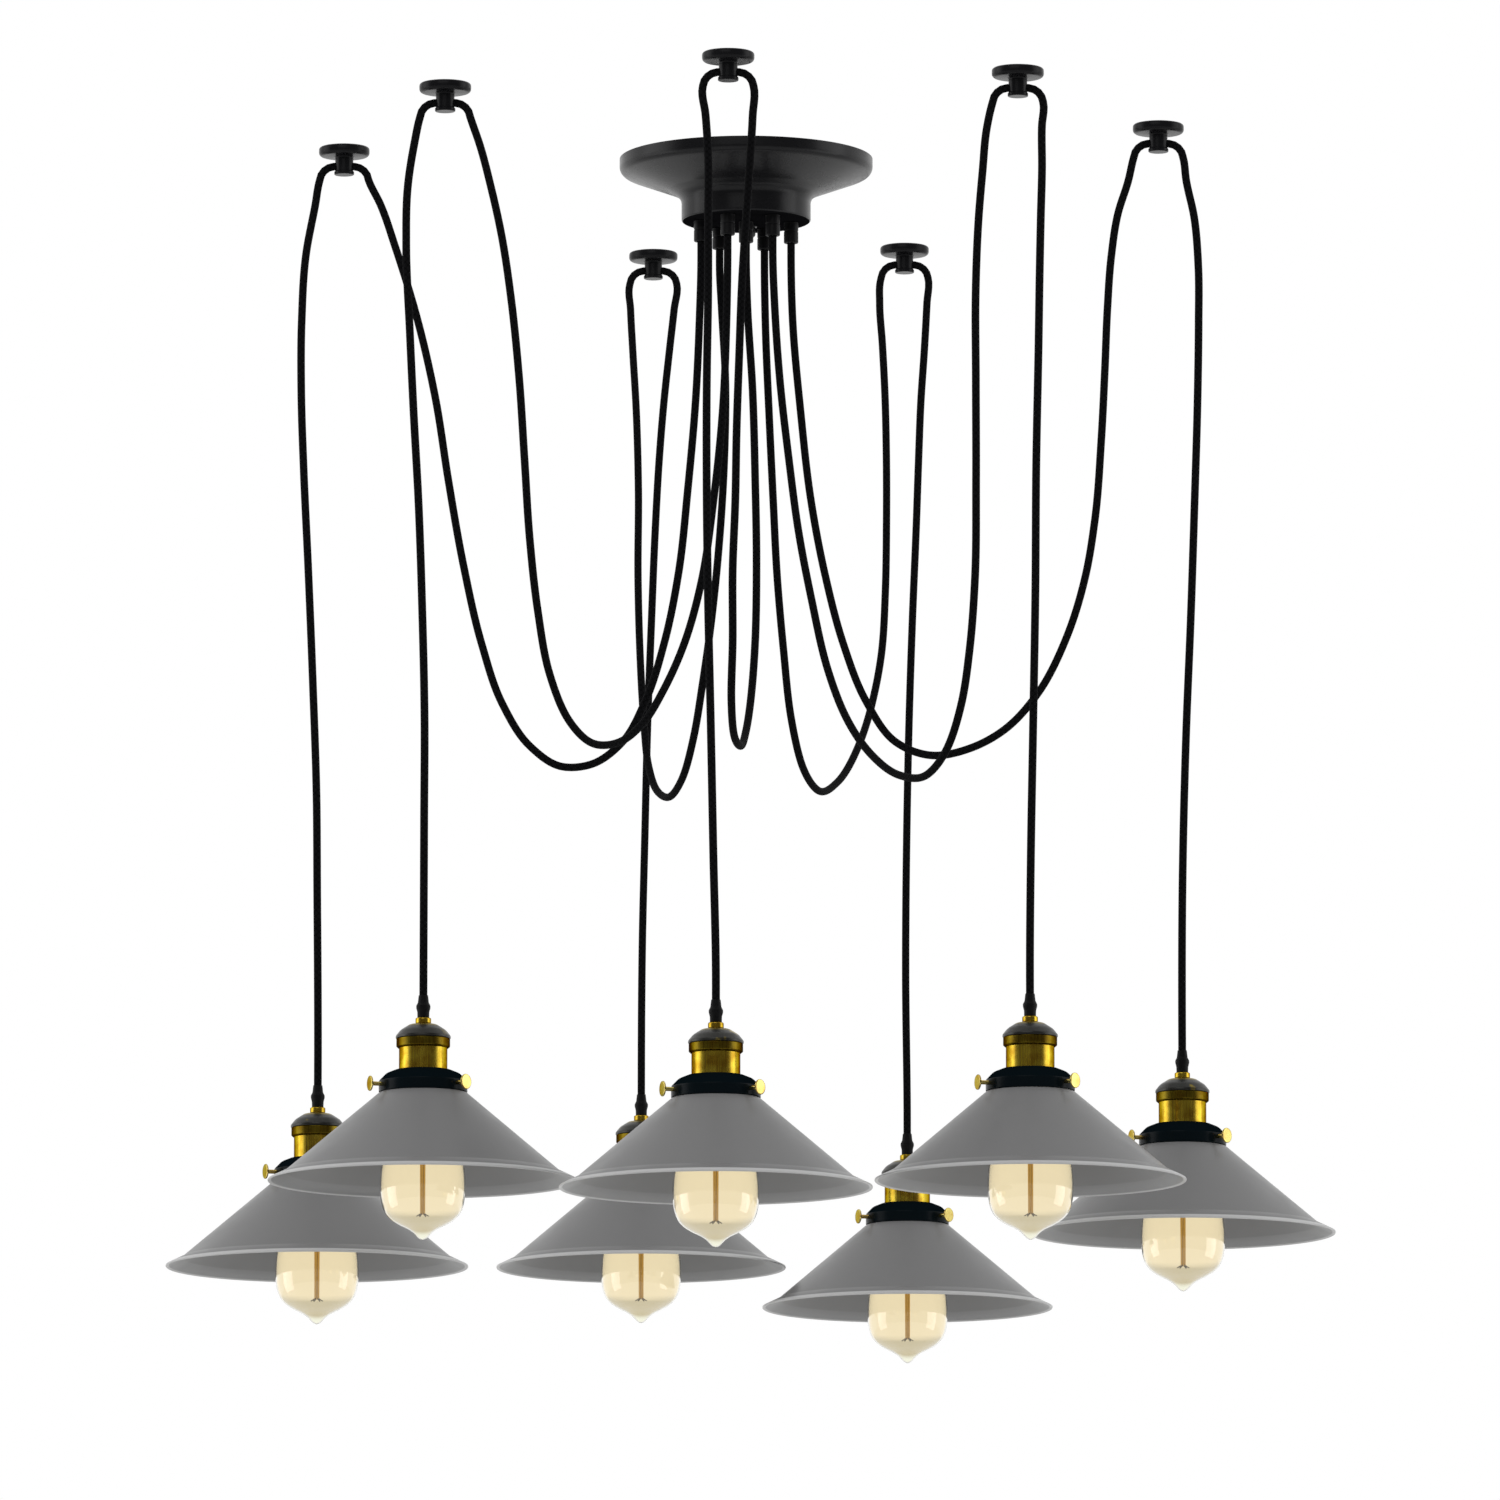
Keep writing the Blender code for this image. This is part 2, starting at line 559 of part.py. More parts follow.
def terminal_mesh():
    """The terminal block under the bar: a stepped body with wire bores and screw wells."""
    top = -BAR_THICKNESS - TOUCH_GAP
    foot = top - BLOCK_HEIGHT
    half = BLOCK_WIDTH / 2
    waist = half - BLOCK_STEP
    ledge = top - BLOCK_HEIGHT / 2
    section = [(half, top), (-half, top), (-half, ledge), (-waist, ledge),
               (-waist, foot), (waist, foot), (waist, ledge), (half, ledge)]
    block = plate("terminal_block", section, -BLOCK_LENGTH / 2, BLOCK_LENGTH / 2, "terminal_nylon")
    block.transform(Matrix.Translation((0, BLOCK_Y, 0)) @ Matrix.Rotation(math.pi / 2, 4, "X"))
    tools = []
    pitch = BLOCK_LENGTH / TERMINAL_COUNT
    bore = rod(TERMINAL_BORE, -half - OVERRUN, half + OVERRUN)
    well = rod(TERMINAL_SCREW_BORE, foot - OVERRUN, foot + TERMINAL_SCREW_DEPTH)
    for index in range(TERMINAL_COUNT):
        y = BLOCK_Y + pitch * (index - (TERMINAL_COUNT - 1) / 2)
        lying = Matrix.Translation((0, y, top - BLOCK_HEIGHT / 4)) @ Matrix.Rotation(math.pi / 2, 4, "Y")
        tools.append((bore, lying))
        tools.append((well, Matrix.Translation((0, y, 0))))
    return combined(block, joined("bores", tools), "DIFFERENCE")


def hook_mesh():
    """A ceiling hook: rounded disc, neck and foot, with the cord's cross hole along X."""
    disc_foot = -HOOK_DISC_HEIGHT
    neck_foot = disc_foot - HOOK_NECK_LENGTH
    flare = HOOK_FOOT_RADIUS - HOOK_NECK_RADIUS
    land = HOOK_RADIUS - HOOK_DISC_ROUND
    outline = [(0, 0)]
    outline += arc((land, -HOOK_DISC_ROUND), HOOK_DISC_ROUND, math.pi / 2, 0)
    outline += arc((land, disc_foot + HOOK_DISC_ROUND), HOOK_DISC_ROUND, 0, -math.pi / 2)
    outline += [
        (HOOK_NECK_RADIUS, disc_foot),
        (HOOK_NECK_RADIUS, neck_foot + HOOK_FOOT_HEIGHT),
        (HOOK_FOOT_RADIUS, neck_foot + HOOK_FOOT_HEIGHT - flare),
        (HOOK_FOOT_RADIUS, neck_foot + flare),
        (HOOK_NECK_RADIUS, neck_foot),
        (0, neck_foot),
    ]
    body = spun("ceiling_hook", outline, HOOK_SIDES, "black_metal")
    reach = HOOK_FOOT_RADIUS + OVERRUN
    hole = rod(hole_radius(CORD_RADIUS, SMALL_SIDES), -reach, reach)
    hole.transform(Matrix.Translation((0, 0, HOOK_HOLE_Z)) @ Matrix.Rotation(math.pi / 2, 4, "Y"))
    return combined(body, hole, "DIFFERENCE")


def cap_mesh():
    """The socket cap: cord grip, collar, dome and skirt, with a recess for the socket shell."""
    dome_foot = SKIRT_FOOT_Z + SKIRT_HEIGHT
    recess = hole_radius(SHELL_RADIUS, CAP_SIDES)
    outline = [
        (0, GRIP_TOP_Z),
        (GRIP_TOP_RADIUS, GRIP_TOP_Z),
        (GRIP_FOOT_RADIUS, GRIP_FOOT_Z + GRIP_HEIGHT * GRIP_TAPER_SHARE),
        (GRIP_BULGE_RADIUS, GRIP_FOOT_Z + GRIP_HEIGHT * GRIP_BULGE_SHARE),
        (GRIP_FOOT_RADIUS, GRIP_FOOT_Z),
        (COLLAR_RADIUS, GRIP_FOOT_Z),
        (COLLAR_RADIUS, COLLAR_FOOT_Z),
    ]
    width = SKIRT_RADIUS - COLLAR_RADIUS
    for step in range(1, ARC_STEPS + 1):
        angle = math.pi / 2 * step / ARC_STEPS
        outline.append((COLLAR_RADIUS + width * math.sin(angle), dome_foot + DOME_HEIGHT * math.cos(angle)))
    outline += [
        (SKIRT_RADIUS, SKIRT_FOOT_Z + SKIRT_ROUND),
        (SKIRT_RADIUS - SKIRT_ROUND, SKIRT_FOOT_Z),
        (recess, SKIRT_FOOT_Z),
        (recess, SHELL_TOP_Z + TOUCH_GAP),
        (0, SHELL_TOP_Z + TOUCH_GAP),
    ]
    return spun("socket_cap", outline, CAP_SIDES, "bronze_cap")


def shell_mesh():
    """The brass socket shell, with its contact block and threaded insert."""
    insert = hole_radius(BASE_RADIUS, SHELL_SIDES)
    bore = SHELL_RADIUS - SHELL_WALL
    return spun("socket_shell", [
        (0, SHELL_TOP_Z),
        (SHELL_RADIUS - SHELL_CHAMFER, SHELL_TOP_Z),
        (SHELL_RADIUS, SHELL_TOP_Z - SHELL_CHAMFER),
        (SHELL_RADIUS, SHELL_FOOT_Z),
        (bore, SHELL_FOOT_Z),
        (bore, INSERT_TOP_Z - INSERT_HEIGHT),
        (insert, INSERT_TOP_Z - INSERT_HEIGHT),
        (insert, INSERT_TOP_Z),
        (0, INSERT_TOP_Z),
    ], SHELL_SIDES, "brass")


def ring_mesh():
    """The shade ring with its three thumb screws, whose tips press on the shade's neck."""
    hole = hole_radius(SHELL_RADIUS, RING_SIDES)
    land = hole + RING_LAND_WIDTH
    outline = [(hole, RING_TOP_Z)]
    for step in range(ARC_STEPS + 1):
        angle = math.pi / 2 * step / ARC_STEPS
        radius = land + (RING_RADIUS - land) * math.sin(angle)
        outline.append((radius, RING_WALL_TOP_Z + RING_DOME_HEIGHT * math.cos(angle)))
    bore = RING_RADIUS - RING_WALL
    outline += [
        (RING_RADIUS, RING_FOOT_Z),
        (bore, RING_FOOT_Z),
        (bore, RING_WALL_TOP_Z),
        (land, RING_TOP_Z - RING_WALL),
        (hole, RING_TOP_Z - RING_WALL),
    ]
    ring = spun("shade_ring", outline, RING_SIDES, "black_metal")
    tip = hole_radius(NECK_RADIUS, SHADE_SIDES)
    head = RING_RADIUS + SCREW_HEAD_REACH
    screw = spun("thumb_screw", [
        (0, head),
        (SCREW_HEAD_RADIUS, head),
        (SCREW_HEAD_RADIUS, head - SCREW_HEAD_THICKNESS),
        (SCREW_SHAFT_RADIUS, head - SCREW_HEAD_THICKNESS),
        (SCREW_SHAFT_RADIUS, tip),
        (0, tip),
    ], SCREW_SIDES, "brass")
    height = RING_FOOT_Z + RING_WALL_HEIGHT * SCREW_HEIGHT_SHARE
    placed = []
    for azimuth in SCREW_AZIMUTHS:
        outwards = Matrix.Rotation(azimuth - math.pi / 2, 4, "Z") @ Matrix.Rotation(math.pi / 2, 4, "Y")
        placed.append((screw, Matrix.Translation((0, 0, height)) @ outwards))
    return combined(ring, joined("thumb_screws", placed), "UNION")


def shade_mesh():
    """The shade, one wall thick all over and open at its neck and rim."""
    shoulder_radius = RING_RADIUS - SHOULDER_INSET
    outline = [
        (NECK_RADIUS, SHOULDER_Z + NECK_HEIGHT),
        (NECK_RADIUS, SHOULDER_Z),
        (shoulder_radius, SHOULDER_Z),
        (BRIM_RADIUS - BRIM_WIDTH, BRIM_HEIGHT),
        (BRIM_RADIUS, 0),
    ]
    return spun("shade", walled(outline, SHADE_WALL), SHADE_SIDES, "grey_paint")


def bulb_mesh():
    """The bulb: hollow glass on a screw base, with the stem whose bore opens through the contact."""
    base_foot = CONTACT_Z - BASE_TAPER_HEIGHT - BASE_THREAD_HEIGHT
    glass_height = base_foot - BULB_TIP_Z
    glass = [(0, BULB_TIP_Z)]
    for radius_share, height_share in GLASS_SHARES:
        glass.append((BULB_RADIUS * radius_share, BULB_TIP_Z + glass_height * height_share))
    neck = BULB_RADIUS * GLASS_NECK_SHARE
    glass.append((neck, base_foot))
    whole = walled(glass[::-1], BULB_WALL)
    inner = whole[len(glass) + 1:][::-1]
    outer = [
        (PUMP_BORE_RADIUS, CONTACT_Z),
        (CONTACT_RADIUS, CONTACT_Z),
        (BASE_RADIUS, CONTACT_Z - BASE_TAPER_HEIGHT),
        (BASE_RADIUS, base_foot),
    ]
    stem_root = base_foot - BULB_WALL
    stem = [
        (neck - BULB_WALL, stem_root),
        (STEM_RADIUS, stem_root),
        (STEM_RADIUS, stem_root - STEM_LENGTH),
        (PUMP_BORE_RADIUS, stem_root - STEM_LENGTH),
    ]
    inner_rise = [point for point in inner[::-1] if point[1] < stem_root - BULB_WALL]
    outline = outer + glass[::-1] + [(0, BULB_TIP_Z + BULB_WALL)] + inner_rise + stem
    return spun("bulb", outline, BULB_SIDES, "amber_glass")


def smooth_route(route):
    """Points on a cubic curve through a route, closer together where it bends.

    The first and last stretches stay straight, so that the cord's ends are square.
    """
    knots = np.array(route, dtype=float)
    chord = np.linalg.norm(np.diff(knots, axis=0), axis=1)
    along = np.concatenate(([0], np.cumsum(chord)))
    slope = np.gradient(knots, along, axis=0)
    dense = np.linspace(along[1], along[-2], int((along[-2] - along[1]) / CURVE_STEP))
    span = np.clip(np.searchsorted(along, dense, side="right") - 1, 0, len(chord) - 1)
    reach = chord[span][:, None]
    t = ((dense - along[span]) / chord[span])[:, None]
    curve = (
        (2 * t**3 - 3 * t**2 + 1) * knots[span]
        + (t**3 - 2 * t**2 + t) * reach * slope[span]
        + (3 * t**2 - 2 * t**3) * knots[span + 1]
        + (t**3 - t**2) * reach * slope[span + 1]
    )
    steps = np.diff(curve, axis=0)
    length = np.linalg.norm(steps, axis=1)
    heading = steps / length[:, None]
    cosine = np.clip(np.sum(heading[1:] * heading[:-1], axis=1), -1, 1)
    turn = np.concatenate(([0], np.arccos(cosine)))
    effort = np.concatenate(([0], np.cumsum(length / LONGEST_STEP + turn / LARGEST_TURN)))
    marks = np.linspace(0, effort[-1], math.ceil(effort[-1]) + 1)
    picked = np.stack([np.interp(marks, effort, curve[:, axis]) for axis in range(3)], axis=1)
    return np.vstack([knots[:1], picked, knots[-1:]])


def hook_bend(number, side):
    """The cord from the middle of the hook's hole, through its neck and over the bend."""
    x, y = hook_place(number)
    points = [
        (x + side * TOUCH_GAP / 2, y, HOOK_HOLE_Z),
        (x + side * HOOK_NECK_RADIUS, y, HOOK_HOLE_Z),
    ]
    for angle in EXIT_BEND_ANGLES:
        out = HOOK_NECK_RADIUS + EXIT_BEND_RADIUS * math.cos(angle)
        fall = EXIT_BEND_RADIUS * (1 - math.sin(angle))
        points.append((x + side * out, y, HOOK_HOLE_Z - fall))
    return points


def cord(name, route, parent=None):
    """A cord's free stretch: a tube along the smooth curve through its route."""
    curve = bpy.data.curves.new(name, "CURVE")
    curve.dimensions = "3D"
    curve.bevel_depth = CORD_RADIUS
    curve.bevel_resolution = CORD_BEVEL_STEPS
    curve.use_fill_caps = True
    curve.materials.append(finish("black_cord"))
    origin = np.array(parent.location if parent else (0, 0, 0))
    points = smooth_route(route) - origin
    spline = curve.splines.new("POLY")
    spline.points.add(len(points) - 1)
    spline.points.foreach_set("co", np.column_stack([points, np.ones(len(points))]).ravel())
    return node(name, curve, parent=parent)


def build_ceiling_pieces():
    """What stays on the ceiling: canopy, bar, stud and nut, terminal block, hooks and swags."""
    node("canopy_shell", canopy_mesh())
    node("mounting_bar", bar_mesh())
    node("canopy_nut", nut_mesh(), (STUD_X, STUD_Y, 0))
    node("terminal_block", terminal_mesh())
    hook = hook_mesh()
    glands = gland_places()
    for number in HOOK_PLACE_SHARES:
        x, y = hook_place(number)
        node(f"ceiling_hook_{number}", hook, (x, y, 0))
        gland_x, gland_y = glands[GLAND_OF[number]]
        end = GLAND_FOOT_Z - TOUCH_GAP
        rise = [(gland_x, gland_y, end - STRAIGHT_END), (gland_x, gland_y, end)]
        route = hook_bend(number, SWAG_SIDE[number]) + list(SWAG_ROUTES[number]) + rise
        cord(f"swag_cord_{number}", route)


def build_pendants():
    """What hangs: each pendant turns about its hook's hole, and each bulb about its own axis."""
    lamp_meshes = {
        "socket_cap": cap_mesh(),
        "socket_shell": shell_mesh(),
        "shade_ring": ring_mesh(),
        "shade": shade_mesh(),
        "bulb": bulb_mesh(),
    }
    for number in HOOK_PLACE_SHARES:
        x, y = hook_place(number)
        pivot = node(f"pendant_pivot_{number}", None, (x, y, HOOK_HOLE_Z))
        rim = lamp_place(number)
        for name, mesh in lamp_meshes.items():
            node(f"{name}_{number}", mesh, rim - pivot.location, pivot)
        end = rim.z + GRIP_TOP_Z + TOUCH_GAP
        fall = [(rim.x, y, end + STRAIGHT_END), (rim.x, y, end)]
        hung = [(route_x, y, route_z) for route_x, route_z in DROP_ROUTES[number]]
        route = hook_bend(number, -SWAG_SIDE[number]) + hung + fall
        cord(f"drop_cord_{number}", route, pivot)


for old in list(bpy.data.objects):
    bpy.data.objects.remove(old)
build_ceiling_pieces()
build_pendants()
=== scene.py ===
"""Spider pendant light, dressed: seven lamps on braided cords under one canopy.

Every surface is worked out as an array of points, in metres. Heights in a lamp are counted up
from the plane of its shade's rim, and heights at the ceiling are counted from the ceiling.
"""
import functools
import math

import bmesh
import bpy
import numpy as np
from bpy.props import FloatProperty, FloatVectorProperty, PointerProperty
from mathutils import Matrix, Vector


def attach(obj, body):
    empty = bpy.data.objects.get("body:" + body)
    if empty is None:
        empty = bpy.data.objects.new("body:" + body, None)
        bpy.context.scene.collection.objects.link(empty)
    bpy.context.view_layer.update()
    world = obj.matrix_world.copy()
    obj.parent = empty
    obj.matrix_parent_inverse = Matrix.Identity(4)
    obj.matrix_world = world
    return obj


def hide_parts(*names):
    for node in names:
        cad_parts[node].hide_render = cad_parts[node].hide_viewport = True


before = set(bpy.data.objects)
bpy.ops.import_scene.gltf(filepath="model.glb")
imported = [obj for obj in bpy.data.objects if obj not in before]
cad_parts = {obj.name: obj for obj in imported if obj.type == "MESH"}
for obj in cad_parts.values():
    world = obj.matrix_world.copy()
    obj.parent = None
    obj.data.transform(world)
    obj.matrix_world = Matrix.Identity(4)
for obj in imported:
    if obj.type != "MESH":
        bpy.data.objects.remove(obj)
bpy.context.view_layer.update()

bl_info = {
    "name": "Spider Pendant Light",
    "version": (1, 0, 0),
    "blender": (4, 5, 0),
    "location": "3D View > Sidebar > Pendant",
    "description": "Builds the lamps, cords, hooks and canopy of a spider pendant light",
    "category": "Add Mesh",
}

NUMBERS = range(1, 8)
GAP = 0.0003                      # left open between pieces that meet
SHARP_ANGLE = math.radians(42)    # edges sharper than this aren't shaded smooth
CANOPY_WALL = 0.0012
RING_WALL = 0.0082                # height of the shade ring's upright wall
THREAD_PITCH = 0.00363
MERGE_DISTANCE = 1e-7             # points closer than this become one
STRAIGHT_END = 0.015              # a cord runs straight this far before a gland or grip
SCREW_AZIMUTHS = (51, -69, 171)   # degrees, from the front
CAP_NUT_PLACE = (0.003, 0.016, 0)
FLOOR_HEIGHT = -2.2
CAMERA_PLACE = (0.003, -10.0, -1.9033)
CAMERA_TILT = 98.2                # degrees up from straight down
WHITE = (1, 1, 1, 1)

# Where the cords pass: hooks, glands and the route points between them
HOOK_REACH = 0.425
HOOK_PLACE_SHARES = {
    1: (-0.729, -0.115), 2: (-0.532, -0.718), 3: (-0.176, 0.944), 4: (-0.031, -1.000),
    5: (0.299, 0.880), 6: (0.478, -0.856), 7: (0.741, -0.336),
}
SWAG_SIDE = {1: 1, 2: 1, 3: -1, 4: 1, 5: -1, 6: -1, 7: -1}
GLAND_OF = {1: 3, 2: 4, 3: 2, 4: None, 5: 1, 6: 5, 7: 0}
LAMP_DROP = 0.866
LAMP_DROP_SHARES = {1: 1.0, 2: 0.957, 3: 0.947, 4: 0.978, 5: 0.987, 6: 0.964, 7: 0.982}
LAMP_LEAN_SHARES = {1: -0.90, 2: -0.74, 3: -0.47, 4: -0.47, 5: 0.05, 6: 0.37, 7: 0.79}
EXIT_BEND_ANGLES = (math.radians(60), math.radians(30), math.radians(5))

# In whole millimetres: (x, y, z) from the hook to the gland, and (x, z) from the hook to the lamp
SWAG_ROUTES = {
    1: (
        (-282, -48, -44), (-270, -44, -78), (-254, -41, -130), (-239, -38, -195),
        (-229, -36, -258), (-217, -35, -325), (-203, -32, -385), (-187, -29, -431),
        (-166, -26, -463), (-143, -22, -478), (-119, -18, -476), (-95, -14, -458),
        (-78, -11, -427), (-63, -8, -380), (-52, -7, -325), (-45, -5, -260), (-39, -4, -190),
        (-36, -4, -125),
    ),
    2: (
        (-200, -298, -46), (-192, -285, -75), (-184, -268, -110), (-177, -252, -156),
        (-171, -242, -215), (-167, -236, -275), (-163, -230, -335), (-157, -222, -388),
        (-148, -210, -435), (-134, -192, -467), (-117, -168, -481), (-97, -142, -477),
        (-78, -117, -458), (-63, -96, -430), (-47, -75, -390), (-34, -58, -339), (-25, -46, -275),
        (-18, -37, -203), (-15, -33, -130),
    ),
    3: (
        (-93, 393, -48), (-91, 377, -85), (-88, 355, -137), (-86, 332, -205), (-86, 308, -281),
        (-84, 289, -348), (-81, 267, -400), (-77, 241, -440), (-70, 213, -464), (-60, 183, -473),
        (-50, 152, -463), (-41, 122, -435), (-34, 97, -397), (-27, 75, -350), (-21, 58, -293),
        (-17, 46, -230), (-16, 37, -170), (-19, 30, -112),
    ),
    4: (
        (5, -417, -46), (3, -403, -78), (0, -382, -118), (-3, -359, -162), (-5, -338, -211),
        (-7, -316, -266), (-8, -302, -317), (-10, -288, -368), (-10, -268, -418),
        (-11, -242, -459), (-9, -208, -481), (-4, -172, -484), (0, -136, -467), (4, -101, -434),
        (7, -74, -388), (8, -51, -322), (7, -31, -257), (5, -14, -184), (1, -3, -115),
    ),
    5: (
        (107, 366, -48), (109, 358, -82), (111, 353, -125), (112, 350, -175), (112, 348, -228),
        (111, 344, -284), (108, 333, -334), (100, 309, -380), (88, 270, -422), (72, 219, -456),
        (56, 167, -470), (44, 128, -457), (35, 99, -423), (29, 79, -372), (24, 63, -316),
        (21, 53, -259), (18, 43, -197), (15, 35, -125),
    ),
    6: (
        (180, -357, -44), (177, -345, -74), (174, -333, -110), (172, -324, -160),
        (172, -319, -230), (172, -318, -304), (171, -315, -379), (167, -309, -431),
        (161, -297, -470), (150, -276, -502), (135, -246, -517), (116, -211, -512),
        (96, -173, -492), (77, -137, -459), (62, -108, -415), (50, -85, -358), (40, -65, -301),
        (33, -51, -245), (26, -39, -180), (22, -31, -120),
    ),
    7: (
        (292, -141, -43), (284, -134, -68), (279, -129, -100), (276, -126, -140),
        (274, -124, -185), (271, -123, -241), (266, -120, -302), (258, -115, -348),
        (244, -108, -392), (223, -97, -432), (198, -83, -458), (171, -69, -471), (141, -53, -474),
        (114, -38, -461), (92, -27, -428), (75, -18, -383), (61, -10, -328), (50, -4, -268),
        (42, 0, -197), (36, 3, -126),
    ),
}
DROP_ROUTES = {
    1: (
        (-332, -45), (-339, -84), (-342, -135), (-342, -195), (-340, -250), (-336, -330),
        (-332, -420), (-329, -500), (-328, -580),
    ),
    2: (
        (-249, -45), (-254, -79), (-255, -122), (-252, -190), (-249, -250), (-245, -320),
        (-242, -400), (-240, -480), (-240, -560),
    ),
    3: (
        (-58, -46), (-62, -82), (-66, -120), (-70, -170), (-73, -225), (-76, -300), (-79, -384),
        (-81, -470), (-83, -560),
    ),
    4: (
        (-30, -47), (-28, -80), (-28, -120), (-28, -180), (-29, -250), (-29, -330), (-28, -410),
        (-26, -500), (-24, -600),
    ),
    5: (
        (145, -46), (143, -82), (140, -126), (138, -175), (136, -230), (133, -300), (130, -388),
        (128, -480), (127, -590),
    ),
    6: (
        (221, -44), (221, -76), (220, -112), (219, -155), (218, -210), (216, -300), (215, -400),
        (213, -500), (211, -600),
    ),
    7: (
        (336, -43), (342, -72), (345, -110), (345, -155), (344, -210), (341, -300), (338, -380),
        (334, -470), (331, -570),
    ),
}

def length_prop(name, description, default):
    return FloatProperty(
        name=name, description=description, default=default, min=0.0001, precision=4,
        subtype="DISTANCE", unit="LENGTH",
    )


def colour_prop(name, description, default):
    return FloatVectorProperty(
        name=name, description=description, default=default, size=3, min=0, max=1, subtype="COLOR",
    )


def level_prop(name, description, default, top=1.0):
    return FloatProperty(name=name, description=description, default=default, min=0, max=top)


class CeilingSizes(bpy.types.PropertyGroup):
    """Sizes of what is on the ceiling."""
    canopy_radius: length_prop("Canopy radius", "Radius of the canopy at the ceiling", 0.098)
    canopy_height: length_prop("Canopy height", "From the ceiling to the canopy's floor", 0.049)
    cup_radius: length_prop("Cup radius", "Radius of the small cup under the canopy", 0.050)
    gland_radius: length_prop("Gland radius", "Radius of a cord gland", 0.0056)
    gland_length: length_prop("Gland length", "How far a gland stands below the canopy", 0.0165)
    gland_ring: length_prop("Gland ring", "Radius of the ring that six glands stand on", 0.035)
    hook_radius: length_prop("Hook radius", "Radius of a ceiling hook's disc", 0.0195)
    neck_radius: length_prop("Hook neck", "Radius of a ceiling hook's neck", 0.0070)
    hook_length: length_prop("Hook length", "From the ceiling to the hook's foot", 0.0215)
    hole_depth: length_prop("Hook hole", "From the ceiling to the cross hole's axis", 0.0148)


class CordSizes(bpy.types.PropertyGroup):
    """Sizes of the cords."""
    radius: length_prop("Cord radius", "Radius of the braided cord", 0.003)
    bend: length_prop("Hook bend", "Bend radius where the cord leaves its hook", 0.0119)
    ring_step: length_prop("Ring step", "Distance between the tube's rings", 0.004)


class LampSizes(bpy.types.PropertyGroup):
    """Sizes of a lamp."""
    brim_radius: length_prop("Brim radius", "Radius of the shade at its rim", 0.1143)
    brim_width: length_prop("Brim width", "Width of the flared brim", 0.0120)
    brim_height: length_prop("Brim height", "Height of the flared brim", 0.006)
    cone_height: length_prop("Cone height", "Height of the shade's straight cone", 0.059)
    shade_wall: length_prop("Shade wall", "Thickness of the shade", 0.001)
    neck_radius: length_prop("Shade neck", "Radius of the shade's neck", 0.0294)
    ring_radius: length_prop("Ring radius", "Radius of the ring that holds the shade", 0.033)
    screw_head: length_prop("Screw head", "Radius of a thumb screw's head", 0.0057)
    shell_radius: length_prop("Shell radius", "Radius of the brass socket shell", 0.018)
    skirt_radius: length_prop("Skirt radius", "Radius of the socket cap's skirt", 0.0205)
    collar_radius: length_prop("Collar radius", "Radius of the collar under the cord grip", 0.0058)
    bulb_radius: length_prop("Bulb radius", "Radius of the bulb where it is widest", 0.032)
    bulb_tip: length_prop("Bulb tip", "How far the bulb's tip hangs below the rim", 0.045)


class Finishes(bpy.types.PropertyGroup):
    """Colours of the finishes."""
    lacquer: colour_prop("Black lacquer", "Canopy, hooks and glands", (0.007, 0.007, 0.008))
    ring: colour_prop("Ring black", "Rings that hold the shades", (0.003, 0.006, 0.008))
    bronze: colour_prop("Bronze", "Socket caps", (0.046, 0.046, 0.043))
    brass: colour_prop("Brass", "Socket shells and collars", (0.680, 0.500, 0.050))
    polish: colour_prop("Polished brass", "Thumb screws", (0.850, 0.740, 0.240))
    paint: colour_prop("Shade paint", "Shades, outside", (0.186, 0.186, 0.187))
    # The inner paint is lighter than the outer: painted light that lifts the shadow inside the
    # cone.
    inner_paint_with_painted_light: colour_prop("Inner shade paint", "Shades, inside", (0.224, 0.224, 0.226))
    # The rim colour is a painted highlight: the pale line that light from above lays on the rolled
    # edge.
    rim: colour_prop("Painted rim highlight", "Highlight painted on the shades' rolled edges", (0.520, 0.520, 0.520))
    yarn: colour_prop("Cord yarn", "Braided sleeve of the cords", (0.0035, 0.0035, 0.004))
    glass: colour_prop("Bulb glass", "Amber glass of the bulbs", (0.985, 0.950, 0.860))
    # These three colours are painted light: the inner side of each bulb emits them, whitest at the
    # tip and darkest where the glass narrows.
    glow: colour_prop("Bulb glow", "Soft glow of the bulb's inner side", (0.735, 0.650, 0.470))
    painted_low_glow: colour_prop("Low glow", "Glow of the bulb's narrowing part", (0.390, 0.355, 0.250))
    painted_tip_glow: colour_prop("Tip glow", "Glow of the bulb's tip", (0.740, 0.790, 0.740))
    filament: colour_prop("Filament", "Filaments in the bulbs", (0.480, 0.292, 0.062))


class Studio(bpy.types.PropertyGroup):
    """Levels of the light."""
    surround: level_prop("Surround", "Strength of the even light from all round", 0.60, 3.0)
    side_lamps: level_prop("Side lamps", "Power of the two tall side lamps, in watts", 24.0, 1000.0)
    front_lamp: level_prop("Front lamp", "Power of the lamp in front, in watts", 25.0, 1000.0)
    backdrop: level_prop("Backdrop", "Brightness of floor and background, where 1 is white", 1.0)


class PendantSettings(bpy.types.PropertyGroup):
    """All settings of the spider pendant light."""
    ceiling: PointerProperty(type=CeilingSizes)
    cord: PointerProperty(type=CordSizes)
    lamp: PointerProperty(type=LampSizes)
    finish: PointerProperty(type=Finishes)
    studio: PointerProperty(type=Studio)


def settings():
    return bpy.context.scene.pendant_light


# Places

def hook_place(number):
    share_x, share_y = HOOK_PLACE_SHARES[number]
    return HOOK_REACH * share_x, HOOK_REACH * share_y


def lamp_place(number):
    """Centre of a lamp's rim plane."""
    x, y = hook_place(number)
    reach = settings().ceiling.neck_radius + settings().cord.bend
    drop = LAMP_DROP * LAMP_DROP_SHARES[number]
    return np.array((x + reach * LAMP_LEAN_SHARES[number], y, -drop))


